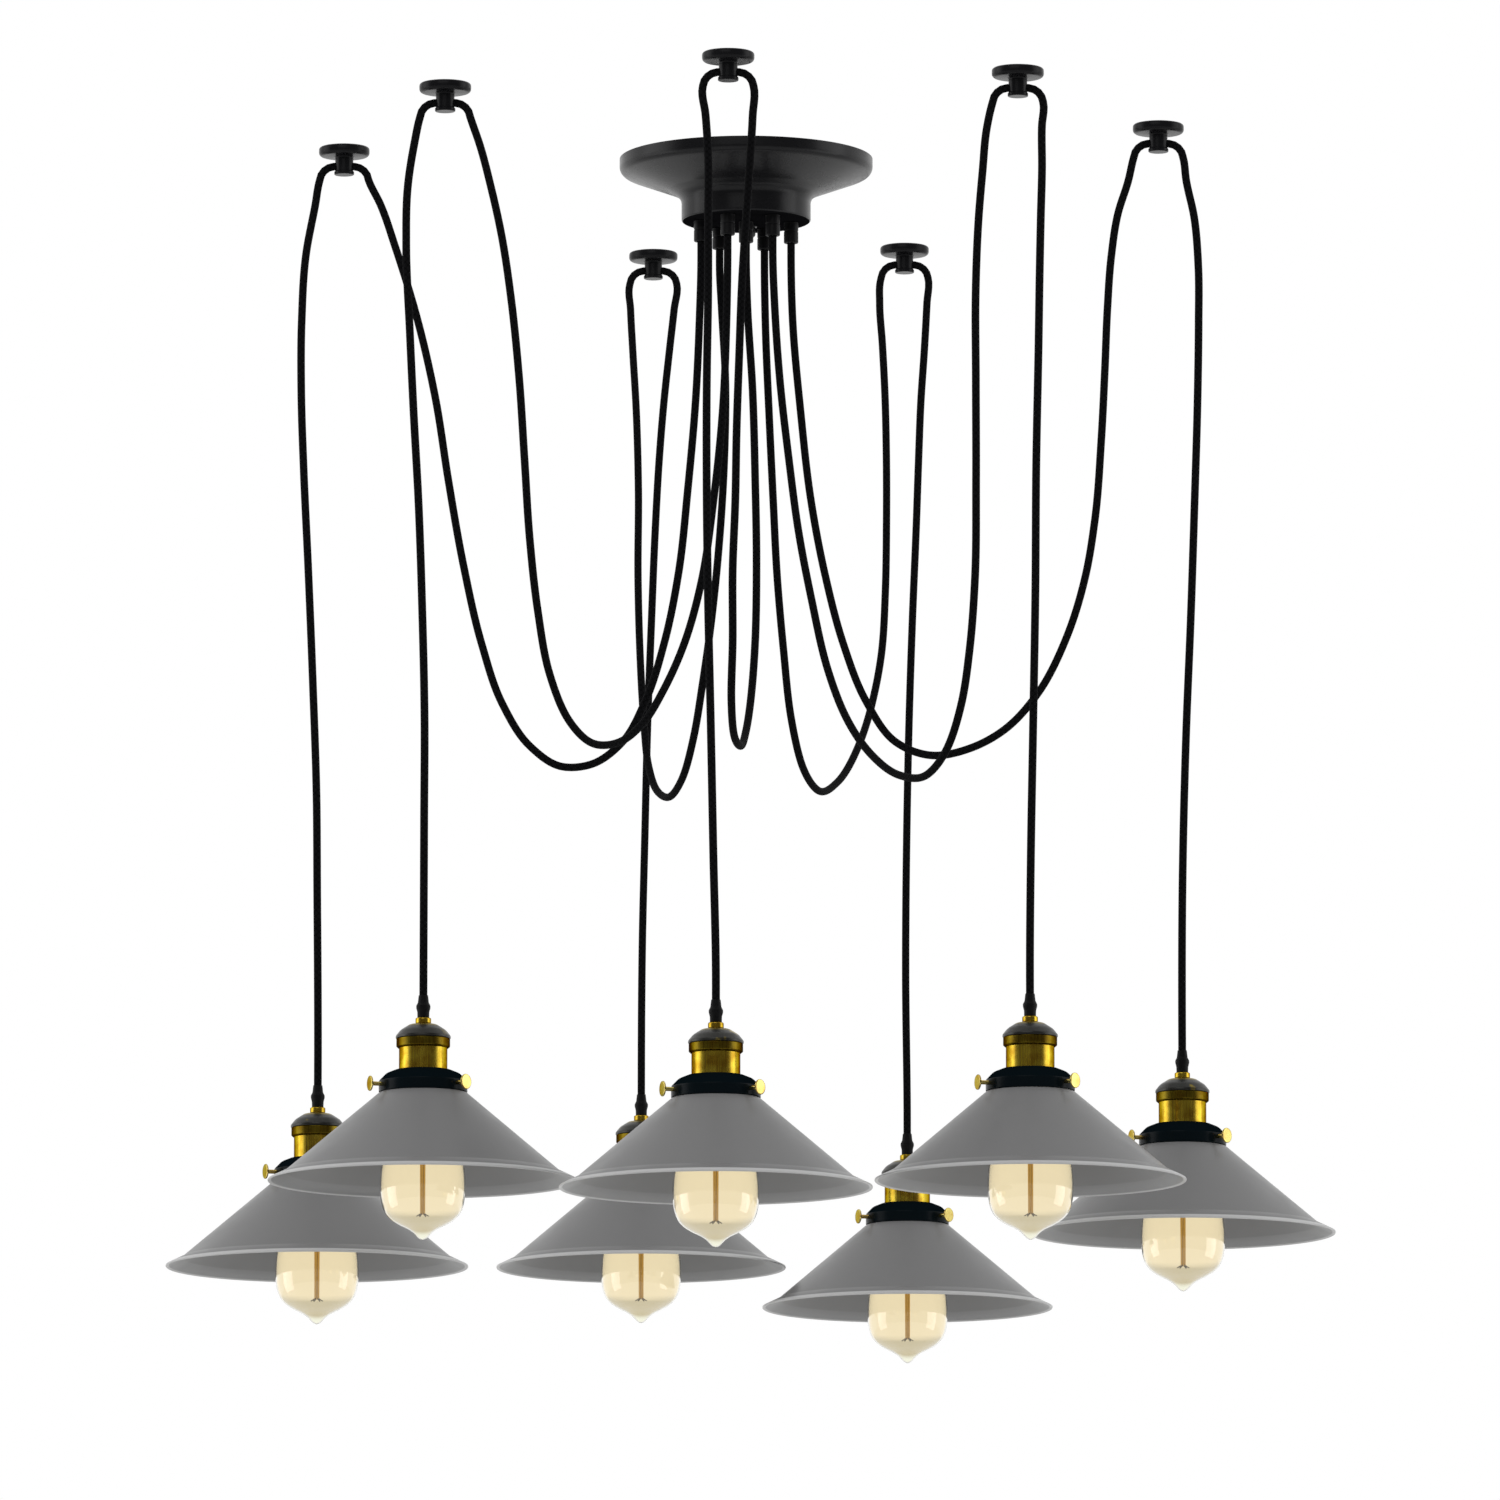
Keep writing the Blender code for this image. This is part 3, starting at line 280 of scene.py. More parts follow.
def gland_place(index):
    """A gland's place: the centre, or one of six on a ring that starts 6 degrees from the right."""
    if index is None:
        return 0.0, 0.0
    angle = math.radians(6) + math.tau * index / 6
    ring = settings().ceiling.gland_ring
    return ring * math.cos(angle), ring * math.sin(angle)


def lamp_heights():
    """Heights of a lamp's joints above its rim, each one built up from another one."""
    lamp = settings().lamp
    z = {"shoulder": lamp.brim_height + lamp.cone_height}
    for name, start, rise in (
        ("ring_foot", "shoulder", GAP), ("ring_wall_top", "ring_foot", RING_WALL),
        ("ring_top", "ring_wall_top", 0.0085), ("skirt_foot", "ring_top", 0.0163),
        ("dome_foot", "skirt_foot", 0.0085), ("collar_foot", "dome_foot", 0.0100),
        ("grip_foot", "collar_foot", 0.0042), ("grip_top", "grip_foot", 0.0170),
        ("shell_foot", "ring_foot", 0.0030), ("shell_top", "skirt_foot", 0.0050),
        ("insert_top", "shell_top", -0.0080),
    ):
        z[name] = z[start] + rise
    return z


# Shapes

def distances(points):
    """How far along a line of points each one lies."""
    return np.concatenate([[0], np.cumsum(np.linalg.norm(np.diff(points, axis=0), axis=1))])


def unit(vectors):
    """Rows of vectors, each divided by its length."""
    return vectors / np.linalg.norm(vectors, axis=1)[:, None]


def rounded(corners, steps=4):
    """An outline with round corners, each given as distance from the axis, height and radius.

    Each corner with a radius becomes an arc that touches both of its sides: its centre lies on
    the corner's bisector, and its points turn evenly from one side's normal to the other's.
    A holding point stands just before and after each arc, so that flat faces shade flat.
    """
    places = np.array([corner[:2] for corner in corners], dtype=float)
    hold = 0.6        # how far a holding point stands from its arc, as a share of the arc's cut
    most = 0.49       # share of a side that one arc may take up
    flat = 0.02       # a corner that turns by less than twice this is left as it is
    out = [places[0]]
    for i in range(1, len(corners) - 1):
        here, radius = places[i], corners[i][2]
        back, ahead = places[i - 1] - here, places[i + 1] - here
        room_back, room_ahead = np.linalg.norm(back), np.linalg.norm(ahead)
        back, ahead = back / room_back, ahead / room_ahead
        half = math.acos(np.clip(back @ ahead, -1, 1)) / 2
        if radius <= 0 or half > math.pi / 2 - flat:
            out.append(here)
            continue
        cut = min(radius / math.tan(half), most * room_back, most * room_ahead)
        radius = cut * math.tan(half)
        centre = here + (back + ahead) / np.linalg.norm(back + ahead) * radius / math.sin(half)
        start, end = here + back * cut - centre, here + ahead * cut - centre
        angle = math.atan2(start[1], start[0])
        sweep = (math.atan2(end[1], end[0]) - angle + math.pi) % math.tau - math.pi
        turn = angle + sweep * np.linspace(0, 1, steps + 1)
        if cut * (1 + hold) < 0.5 * room_back:
            out.append(here + back * cut * (1 + hold))
        out.extend(centre + radius * np.stack([np.cos(turn), np.sin(turn)], axis=1))
        if cut * (1 + hold) < 0.5 * room_ahead:
            out.append(here + ahead * cut * (1 + hold))
    out.append(places[-1])
    return np.array(out)


def offset(outline, wall):
    """The outline moved sideways by the wall.

    Each point goes along the mean of its two sides' normals, and further the more they differ.
    """
    edges = unit(np.diff(outline, axis=0))
    normals = np.stack([edges[:, 1], -edges[:, 0]], axis=1)
    before = np.vstack([normals[:1], normals])
    after = np.vstack([normals, normals[-1:]])
    mitre = (before + after) / (1 + np.sum(before * after, axis=1))[:, None]
    return outline + wall * mitre


def shaded(mesh):
    mesh.shade_smooth()
    mesh.set_sharp_from_angle(angle=SHARP_ANGLE)
    return mesh


def skin(grid, closed_along=False):
    """A mesh over a grid of points: neighbours along both parameters share a four-sided face.

    The grid is closed round its second parameter. Rows that shrink to one point become poles,
    and the faces are turned outwards. The UV map holds the share round in U and the distance
    along in V, in metres.
    """
    rows, columns = grid.shape[:2]
    i, j = np.indices((rows if closed_along else rows - 1, columns))
    here, there = i * columns, (i + 1) % rows * columns
    beside = (j + 1) % columns
    faces = np.stack([here + j, here + beside, there + beside, there + j], axis=-1)
    mesh = bpy.data.meshes.new("skin")
    mesh.from_pydata(grid.reshape(-1, 3), [], faces.reshape(-1, 4).tolist())
    side = grid[:, 0]
    along = distances(np.vstack([side, side[:1]]))
    u = np.stack([j, j + 1, j + 1, j], axis=-1) / columns
    v = np.stack([along[i], along[i], along[i + 1], along[i + 1]], axis=-1)
    mesh.uv_layers.new(name="surface").data.foreach_set("uv", np.stack([u, v], axis=-1).ravel())
    bm = bmesh.new()
    bm.from_mesh(mesh)
    bmesh.ops.remove_doubles(bm, verts=bm.verts, dist=MERGE_DISTANCE)
    bmesh.ops.recalc_face_normals(bm, faces=bm.faces)
    bm.to_mesh(mesh)
    bm.free()
    return shaded(mesh)


def turned_grid(outline, turns):
    """A turned surface: at angle t, the outline's point (r, z) goes to (r cos t, r sin t, z)."""
    outline = np.asarray(outline, dtype=float)
    t = np.linspace(0, math.tau, turns, endpoint=False)
    r, z = outline[:, :1], outline[:, 1:]
    return np.stack([r * np.cos(t), r * np.sin(t), z + 0 * t], axis=-1)


def turned(outline, turns, centre):
    """A turned piece, closed at its poles, or closed on itself where it has none."""
    closed = outline[0][0] > 0 and outline[-1][0] > 0
    return skin(turned_grid(outline, turns) + np.asarray(centre, dtype=float), closed_along=closed)


def together(meshes):
    """One mesh made of several, which are used up."""
    bm = bmesh.new()
    for mesh in meshes:
        bm.from_mesh(mesh)
        bpy.data.meshes.remove(mesh)
    made = bpy.data.meshes.new("together")
    bm.to_mesh(made)
    bm.free()
    return shaded(made)


def face_sides(mesh):
    """The middles and the normals of a mesh's faces."""
    sides = np.empty((2, len(mesh.polygons) * 3))
    for row, key in zip(sides, ("center", "normal")):
        mesh.polygons.foreach_get(key, row)
    return sides.reshape(2, -1, 3)


def lined(mesh, material, chosen):
    """Give a second material to the chosen faces."""
    mesh.materials.append(material)
    mesh.polygons.foreach_set("material_index", chosen.astype(np.int32))


def in_scene(name, data):
    """A new object in the scene, whose data takes its name."""
    data.name = name
    made = bpy.data.objects.new(name, data)
    bpy.context.scene.collection.objects.link(made)
    return made


def piece(name, mesh, material, body, slot, *nodes):
    """An object in the scene that rides on a body and stands for the named nodes."""
    mesh.materials.clear()
    mesh.materials.append(material)
    made = in_scene(name, mesh)
    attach(made, body)
    if nodes:
        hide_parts(*nodes)
    return made


def smooth_route(route, step):
    """Points at even steps on a cubic curve through the route.

    The curve's slope at each point of the route follows that point's neighbours. It is worked
    out at fine steps first, and the even ones are read off by the distance along it.
    """
    knots = np.array(route, dtype=float)
    along = distances(knots)
    chord = np.linalg.norm(np.diff(knots, axis=0), axis=1)
    slope = np.gradient(knots, along, axis=0)
    fine_step = 0.0005
    dense = np.linspace(0, along[-1], int(along[-1] / fine_step))
    span = np.clip(np.searchsorted(along, dense, side="right") - 1, 0, len(chord) - 1)
    reach = chord[span][:, None]
    t = (dense - along[span])[:, None] / reach
    curve = (
        (2 * t**3 - 3 * t**2 + 1) * knots[span]
        + (t**3 - 2 * t**2 + t) * reach * slope[span]
        + (3 * t**2 - 2 * t**3) * knots[span + 1]
        + (t**3 - t**2) * reach * slope[span + 1]
    )
    run = distances(curve)
    marks = np.linspace(0, run[-1], int(run[-1] / step) + 1)
    return np.stack([np.interp(marks, run, curve[:, axis]) for axis in range(3)], axis=1)


def tube(path, radius, sides=16):
    """A round tube along a path, with its ends closed.

    Its rings stand square to the path. They are set out from one fixed direction, the one of
    many spread over a half ball that the path's own direction comes least close to.
    """
    path = np.asarray(path, dtype=float)
    heading = unit(np.gradient(path, axis=0))
    count = 400
    height = (np.arange(count) + 0.5) / count
    swirl = np.arange(count) * math.pi * (3 - math.sqrt(5))
    flat = np.sqrt(1 - height**2)
    tries = np.stack([flat * np.cos(swirl), flat * np.sin(swirl), height], axis=1)
    fixed = tries[np.argmin(np.abs(tries @ heading.T).max(axis=1))]
    across = unit(np.cross(heading, fixed))
    up = np.cross(across, heading)
    t = np.linspace(0, math.tau, sides, endpoint=False)[None, :, None]
    grid = path[:, None] + radius * (across[:, None] * np.cos(t) + up[:, None] * np.sin(t))
    middles = np.repeat(grid[[0, -1]].mean(axis=1, keepdims=True), sides, axis=1)
    return skin(np.concatenate([middles[:1], grid, middles[1:]]))


# Materials

def once(kind):
    """Make a maker's second call with one name return what the file already holds by that name."""
    def wrapped(maker):
        @functools.wraps(maker)
        def named(name, *values, **more):
            return getattr(bpy.data, kind).get(name) or maker(name, *values, **more)
        return named
    return wrapped


def feed(node, inputs):
    """Give a node's inputs what they need: a socket is linked, and anything else is set."""
    for key, value in inputs.items():
        if isinstance(value, bpy.types.NodeSocket):
            node.id_data.links.new(value, node.inputs[key])
        else:
            node.inputs[key].default_value = value


def put(tree, kind, inputs=(), **attributes):
    """A new node with its attributes and inputs."""
    made = tree.nodes.new(kind)
    for key, value in attributes.items():
        setattr(made, key, value)
    feed(made, dict(inputs))
    return made


def number_group(name, inputs, *outputs):
    """A node group with number sockets; returns it, its own inputs and the node of its outputs."""
    made = bpy.data.node_groups.new(name, "ShaderNodeTree")
    for label, value in inputs.items():
        socket = made.interface.new_socket(label, in_out="INPUT", socket_type="NodeSocketFloat")
        socket.default_value = value
    for label in outputs:
        made.interface.new_socket(label, in_out="OUTPUT", socket_type="NodeSocketFloat")
    return made, made.nodes.new("NodeGroupInput").outputs, made.nodes.new("NodeGroupOutput")


def calc(tree, operation, *values):
    """What a Math node puts out for the values."""
    return put(tree, "ShaderNodeMath", dict(enumerate(values)), operation=operation).outputs[0]


def map_range(tree, value, source, target=(0.0, 1.0), kind="LINEAR"):
    """A value carried over from one range to another."""
    return put(tree, "ShaderNodeMapRange", {
        "Value": value, "From Min": source[0], "From Max": source[1],
        "To Min": target[0], "To Max": target[1]}, interpolation_type=kind).outputs["Result"]


def coordinates(tree, kind):
    return put(tree, "ShaderNodeTexCoord").outputs[kind]


def split(tree, vector):
    return put(tree, "ShaderNodeSeparateXYZ", {"Vector": vector}).outputs


def blend(tree, mask, low, high):
    """A colour that runs from one to another with a mask."""
    inputs = {"Factor": mask, "A": low, "B": high}
    return put(tree, "ShaderNodeMix", inputs, data_type="RGBA").outputs["Result"]


def noise(tree, where, scale, detail, roughness=0.5):
    return put(tree, "ShaderNodeTexNoise", {
        "Vector": where, "Scale": scale, "Detail": detail, "Roughness": roughness}).outputs["Fac"]


def mixed(tree, mask, first, second):
    """The first shader where the mask is 0, and the second where it is 1."""
    return put(tree, "ShaderNodeMixShader", {"Fac": mask, 1: first, 2: second}).outputs["Shader"]


@once("node_groups")
def mottle_group(name):
    """Mottle: soft cloudy variation with fine grain on it, for roughness, tint and height."""
    scales = {"Cloud Scale": 40.0, "Grain Scale": 1500.0}
    made, given, out = number_group(name, scales, "Cloud", "Grain")
    where = coordinates(made, "Object")
    feed(out, {
        "Cloud": noise(made, where, given["Cloud Scale"], 3.0, 0.55),
        "Grain": noise(made, where, given["Grain Scale"], 2.0, 0.6),
    })
    return made


@once("node_groups")
def streak_group(name):
    """Streaks: fine bands that run along a turned piece, from its UV map stretched along V."""
    made, given, out = number_group(name, {"Count": 60.0, "Stretch": 20.0}, "Streak")
    uv = split(made, coordinates(made, "UV"))
    turn = calc(made, "MULTIPLY", uv["X"], math.tau)
    x = calc(made, "MULTIPLY", calc(made, "COSINE", turn), given["Count"])
    y = calc(made, "MULTIPLY", calc(made, "SINE", turn), given["Count"])
    z = calc(made, "MULTIPLY", uv["Y"], given["Stretch"])
    where = put(made, "ShaderNodeCombineXYZ", {"X": x, "Y": y, "Z": z}).outputs["Vector"]
    feed(out, {"Streak": noise(made, where, 1.0, 3.0)})
    return made


@once("node_groups")
def braid_group(name):
    """Braid: two sets of yarns that wind round the cord both ways, over and under each other."""
    made, given, out = number_group(name, {"Yarns": 8.0, "Pitch": 420.0}, "Height", "Shade")
    uv = split(made, coordinates(made, "UV"))
    turn = calc(made, "MULTIPLY", uv["X"], given["Yarns"])
    rise = calc(made, "MULTIPLY", uv["Y"], given["Pitch"])
    right, left = calc(made, "ADD", turn, rise), calc(made, "SUBTRACT", turn, rise)

    def wave(kind, phase):
        return calc(made, kind, calc(made, "MULTIPLY", phase, math.pi))

    def weave(yarn, other, sign):
        """A yarn's round back, higher where it passes over the other set and lower under it."""
        lift = calc(made, "MULTIPLY", 0.4, wave("COSINE", other))
        back = calc(made, "ABSOLUTE", wave("SINE", yarn))
        return calc(made, "MULTIPLY", back, calc(made, sign, 0.6, lift))

    height = calc(made, "MAXIMUM", weave(right, left, "ADD"), weave(left, right, "SUBTRACT"))
    fuzz = noise(made, coordinates(made, "Object"), 900.0, 2.0)
    soft = calc(made, "ADD", 0.6, calc(made, "MULTIPLY", 0.8, fuzz))
    # Shade is painted shade: the yarns' height, dimmed at random, darkens the dips between them.
    feed(out, {"Height": height, "Shade": calc(made, "MULTIPLY", height, soft)})
    return made


def grouped(tree, made, **inputs):
    """What a group's node puts out, with underscores for the spaces in its inputs' names."""
    inputs = {key.replace("_", " "): value for key, value in inputs.items()}
    return put(tree, "ShaderNodeGroup", node_tree=made, inputs=inputs).outputs


def mottled(tree, **scales):
    return grouped(tree, mottle_group("Mottle"), **scales)


def shader(name, colour, roughness, metallic=0.0, **sockets):
    """A new material, its tree and its Principled BSDF, set as told."""
    made = bpy.data.materials.new(name)
    made.use_nodes = True
    principled = made.node_tree.nodes["Principled BSDF"]
    feed(principled, {"Base Color": (*colour, 1), "Roughness": roughness, "Metallic": metallic})
    feed(principled, {key.replace("_", " "): value for key, value in sockets.items()})
    return made, made.node_tree, principled


def tinted(principled, mask, low, high):
    """Base Color that runs from one colour to another with a mask."""
    colour = blend(principled.id_data, mask, (*low, 1), (*high, 1))
    feed(principled, {"Base Color": colour})
    return colour


def glossed(principled, mask, low, high):
    """Roughness that runs from low to high while the mask runs from 0.3 to 0.7."""
    feed(principled, {"Roughness": map_range(principled.id_data, mask, (0.3, 0.7), (low, high))})


def bumped(principled, height, strength, distance):
    inputs = {"Strength": strength, "Distance": distance, "Height": height}
    bump = put(principled.id_data, "ShaderNodeBump", inputs)
    feed(principled, {"Normal": bump.outputs["Normal"]})


def scaled(colour, factor):
    return tuple(min(1.0, part * factor) for part in colour)


@once("materials")
def coated_metal(name, colour, roughness, specular=0.3):
    """Lacquer or powder paint on metal: orange-peel grain, and gloss that varies in soft clouds."""
    made, tree, principled = shader(name, colour, roughness, Specular_IOR_Level=specular)
    mottle = mottled(tree, Grain_Scale=1400.0)
    tinted(principled, mottle["Cloud"], scaled(colour, 0.93), scaled(colour, 1.07))
    glossed(principled, mottle["Cloud"], roughness * 0.85, roughness * 1.15)
    bumped(principled, mottle["Grain"], 0.35, 0.00002)
    return made


@once("materials")
def shade_paint(name, colour, rim, edge, width):
    """Satin paint with a painted highlight on the rolled edge: the rim colour within a width of its
    middle, along the outline.
    """
    made, tree, principled = shader(name, colour, 0.38, Specular_IOR_Level=0.20)
    mottle = mottled(tree, Grain_Scale=900.0)
    plain = tinted(principled, mottle["Cloud"], scaled(colour, 0.95), scaled(colour, 1.05))
    along = split(tree, coordinates(tree, "UV"))["Y"]
    far = calc(tree, "ABSOLUTE", calc(tree, "SUBTRACT", along, edge))
    # The mask picks the rolled edge, where the rim colour paints a highlight.
    mask = map_range(tree, far, (width * 0.7, width), (1.0, 0.0), "SMOOTHSTEP")
    feed(principled, {"Base Color": blend(tree, mask, plain, (*rim, 1))})
    glossed(principled, mottle["Cloud"], 0.29, 0.39)
    bumped(principled, mottle["Grain"], 0.30, 0.00002)
    return made


@once("materials")
def brass_metal(name, colour, roughness, dark=0.62):
    """Drawn brass: yellow metal with fine bands along it and brown where it has aged."""
    tint = (0.10, 0.08, 0.04, 1)
    made, tree, principled = shader(name, colour, roughness, 1.0, Specular_Tint=tint)
    streak = grouped(tree, streak_group("Streaks"))["Streak"]
    mottle = mottled(tree, Cloud_Scale=110.0)
    aged = map_range(tree, calc(tree, "MULTIPLY", streak, mottle["Cloud"]), (0.18, 0.33))
    brown = (colour[0] * dark, colour[1] * dark * 0.78, colour[2] * dark * 0.7)
    tinted(principled, aged, brown, colour)
    glossed(principled, streak, roughness * 0.8, roughness * 1.25)
    bumped(principled, mottle["Grain"], 0.2, 0.00001)
    return made


@once("materials")
def bronze_metal(name, colour, brass, crown_wear_and_sheen):
    """Bronzed brass: a dark grey skin, rubbed through to brass in soft patches, and brass on its
    top that is partly wear and partly a painted sheen.

    The top is what lies within the distance given as the argument, along the outline from the axis.
    """
    made, tree, principled = shader(name, colour, 0.36, 0.85)
    mottle = mottled(tree, Cloud_Scale=70.0)
    patches = map_range(tree, mottle["Cloud"], (0.60, 0.74))
    along = split(tree, coordinates(tree, "UV"))["Y"]
    blur = 0.002
    # Brass on the top by the collar: partly wear, partly a painted sheen.
    top = map_range(tree, along, (crown_wear_and_sheen - blur, crown_wear_and_sheen + blur), (0.7, 0.0), "SMOOTHSTEP")
    tinted(principled, calc(tree, "MAXIMUM", patches, top), colour, scaled(brass, 0.5))
    glossed(principled, mottle["Cloud"], 0.42, 0.30)
    bumped(principled, mottle["Grain"], 0.3, 0.000015)
    return made


@once("materials")
def braided_yarn(name, colour):
    """Braided textile: the braid's relief as bump, with painted shade between the yarns and painted
    light on their backs, and a soft sheen.
    """
    made, tree, principled = shader(
        name, colour, 0.85, Sheen_Weight=0.01, Sheen_Roughness=0.5, Specular_IOR_Level=0.04)
    braid = grouped(tree, braid_group("Braid"))
    # Painted shade and light: darker in the dips between the yarns, lighter on their round backs.
    tinted(principled, braid["Shade"], scaled(colour, 0.35), scaled(colour, 1.9))
    bumped(principled, braid["Height"], 0.5, 0.00025)
    return made


@once("materials")
def bulb_glass(name, colour, painted_glows=None, tip=0.0):
    """Amber glass; with the painted colours given, the glass of the inner side, which gives off
    painted light.

    There the far wall also gives off painted light, seen through the near wall and round the
    filament. The painted light runs with the distance along the inner side from the tip: the tip's,
    the low part's and the body's colour, whitest at the tip and darkest where the glass narrows.
    """
    made, tree, principled = shader(name, colour, 0.02, IOR=1.6, Transmission_Weight=1.0)
    mottle = mottled(tree, Cloud_Scale=25.0)
    tinted(principled, mottle["Cloud"], scaled(colour, 0.97), scaled(colour, 1.03))
    if painted_glows is None:
        return made
    made.use_backface_culling = True
    painted_glow_reach = 0.080
    along = map_range(tree, split(tree, coordinates(tree, "UV"))["Y"], (tip, tip + painted_glow_reach))
    ramp = put(tree, "ShaderNodeValToRGB", {"Fac": along})
    ramp.color_ramp.interpolation = "EASE"
    stops = ramp.color_ramp.elements
    body, low, point = ((*glow, 1) for glow in painted_glows)
    stops[0].color, stops[-1].color = point, body
    for place, glow in ((0.07, point), (0.18, low), (0.40, low), (0.50, body)):
        stops.new(place).color = glow
    # Painted light: the far inner wall emits the ramp's colour.
    painted_glow_film = put(tree, "ShaderNodeBsdfPrincipled", {
        "Base Color": (0.20, 0.19, 0.16, 1), "Roughness": 0.6,
        "Emission Color": ramp.outputs["Color"], "Emission Strength": 1.0})
    back = put(tree, "ShaderNodeNewGeometry").outputs["Backfacing"]
    feed(tree.nodes["Material Output"], {
        "Surface": mixed(tree, back, painted_glow_film.outputs["BSDF"], principled.outputs["BSDF"])})
    return made


@once("materials")
def clear_glass(name):
    """Clear glass with a slightly wavy surface."""
    made, tree, principled = shader(
        name, (0.97, 0.96, 0.92), 0.02, IOR=1.45, Transmission_Weight=1.0)
    bumped(principled, mottled(tree, Cloud_Scale=60.0)["Cloud"], 0.1, 0.0002)
    return made


@once("materials")
def zinc_plate(name):
    """Zinc on steel: grey metal whose tint and gloss vary in clouds."""
    made, tree, principled = shader(name, (0.62, 0.63, 0.65), 0.34, 1.0)
    cloud = mottled(tree, Cloud_Scale=90.0)["Cloud"]
    tinted(principled, cloud, (0.50, 0.52, 0.54), (0.72, 0.72, 0.70))
    glossed(principled, cloud, 0.28, 0.46)
    return made


# Pieces

class PendantOperator:
    """What every operator here has in common: it raises an error where it can't finish."""
    bl_options = {"REGISTER", "UNDO"}

    def execute(self, context):
        self.build()
        return {"FINISHED"}


def hook_bend(number, side):
    """The cord from the middle of the hook's hole, through its neck and over the bend."""
    neck, bend = settings().ceiling.neck_radius, settings().cord.bend
    x, y = hook_place(number)
    depth = -settings().ceiling.hole_depth
    points = [(x + side * GAP / 2, y, depth), (x + side * neck, y, depth)]
    for angle in EXIT_BEND_ANGLES:
        out = neck + bend * math.cos(angle)
        points.append((x + side * out, y, depth - bend * (1 - math.sin(angle))))
    return points


class PENDANT_OT_cords(PendantOperator, bpy.types.Operator):
    """Build the braided cords: seven swags and seven drops."""
    bl_idname = "pendant.cords"
    bl_label = "Braided cords"

    def build(self):
        s = settings()
        yarn = braided_yarn("braided cord", s.finish.yarn)
        gland_foot = -s.ceiling.canopy_height - s.ceiling.gland_length
        grip_top = lamp_heights()["grip_top"]
        for number in NUMBERS:
            side = SWAG_SIDE[number]
            swag = [(x / 1000, y / 1000, z / 1000) for x, y, z in SWAG_ROUTES[number]]
            rise = self.straight(*gland_place(GLAND_OF[number]), gland_foot - GAP, -STRAIGHT_END)
            route = (hook_bend(number, side) + swag + rise)[::-1]
            self.stretch("swag", number, route, "ceiling_part", yarn)
            lamp_x, lamp_y, rim = lamp_place(number)
            drop = [(x / 1000, lamp_y, z / 1000) for x, z in DROP_ROUTES[number]]
            fall = self.straight(lamp_x, lamp_y, rim + grip_top + GAP, STRAIGHT_END)
            route = hook_bend(number, -side) + drop + fall
            self.stretch("drop", number, route, f"pendant_{number}", yarn)

    def straight(self, x, y, end, rise):
        """The straight upright part, which starts a rise away from its end."""
        return [(x, y, end + rise), (x, y, end)]

    def stretch(self, kind, number, route, body, yarn):
        """One free stretch of cord: a tube along an even smooth line through its route."""
        s = settings().cord
        path = smooth_route(route, s.ring_step)
        name, node = f"cord_{kind}_{number}", f"{kind}_cord_{number}"
        made = piece(name, tube(path, s.radius), yarn, body, "black_cord", node)


class PENDANT_OT_hooks(PendantOperator, bpy.types.Operator):
    """Build the ceiling hooks: a rounded disc and a neck with a cross hole."""
    bl_idname = "pendant.hooks"
    bl_label = "Ceiling hooks"

    def build(self):
        s = settings()
        disc, neck, foot = s.ceiling.hook_radius, s.ceiling.neck_radius, -s.ceiling.hook_length
        lip = neck + 0.0007
        lacquer = coated_metal("hook lacquer", s.finish.lacquer, 0.26, 0.10)
        outline = rounded([
            (0, 0), (disc, 0, 0.002), (disc, -0.007, 0.0028), (neck, -0.0076, 0.001),
            (neck, foot + 0.003, 0.0004), (lip, foot + 0.0023, 0.0004), (lip, foot, 0.0008),
            (0, foot),
        ])
        for number in NUMBERS:
            x, y = hook_place(number)
            mesh = self.pierced(turned(outline, 64, (x, y, 0)), x, y)
            name, node = f"hook_{number}", f"ceiling_hook_{number}"
            piece(name, mesh, lacquer, "ceiling_part", "black_metal", node)

    def pierced(self, mesh, x, y):
        """Cut the cross hole, a round rod along X at the hole's depth, with an exact Boolean."""
        s = settings()
        reach, depth = s.ceiling.neck_radius + 0.003, -s.ceiling.hole_depth
        rod = tube([(x - reach, y, depth), (x + reach, y, depth)], s.cord.radius + 2 * GAP, 32)
        body, cutter = in_scene("body", mesh), in_scene("cutter", rod)
        cut = body.modifiers.new("cross hole", "BOOLEAN")
        cut.operation, cut.solver, cut.object = "DIFFERENCE", "EXACT", cutter
        graph = bpy.context.evaluated_depsgraph_get()
        made = bpy.data.meshes.new_from_object(body.evaluated_get(graph))
        for item in (body, cutter):
            bpy.data.objects.remove(item)
        for used in (mesh, rod):
            bpy.data.meshes.remove(used)
        return shaded(made)


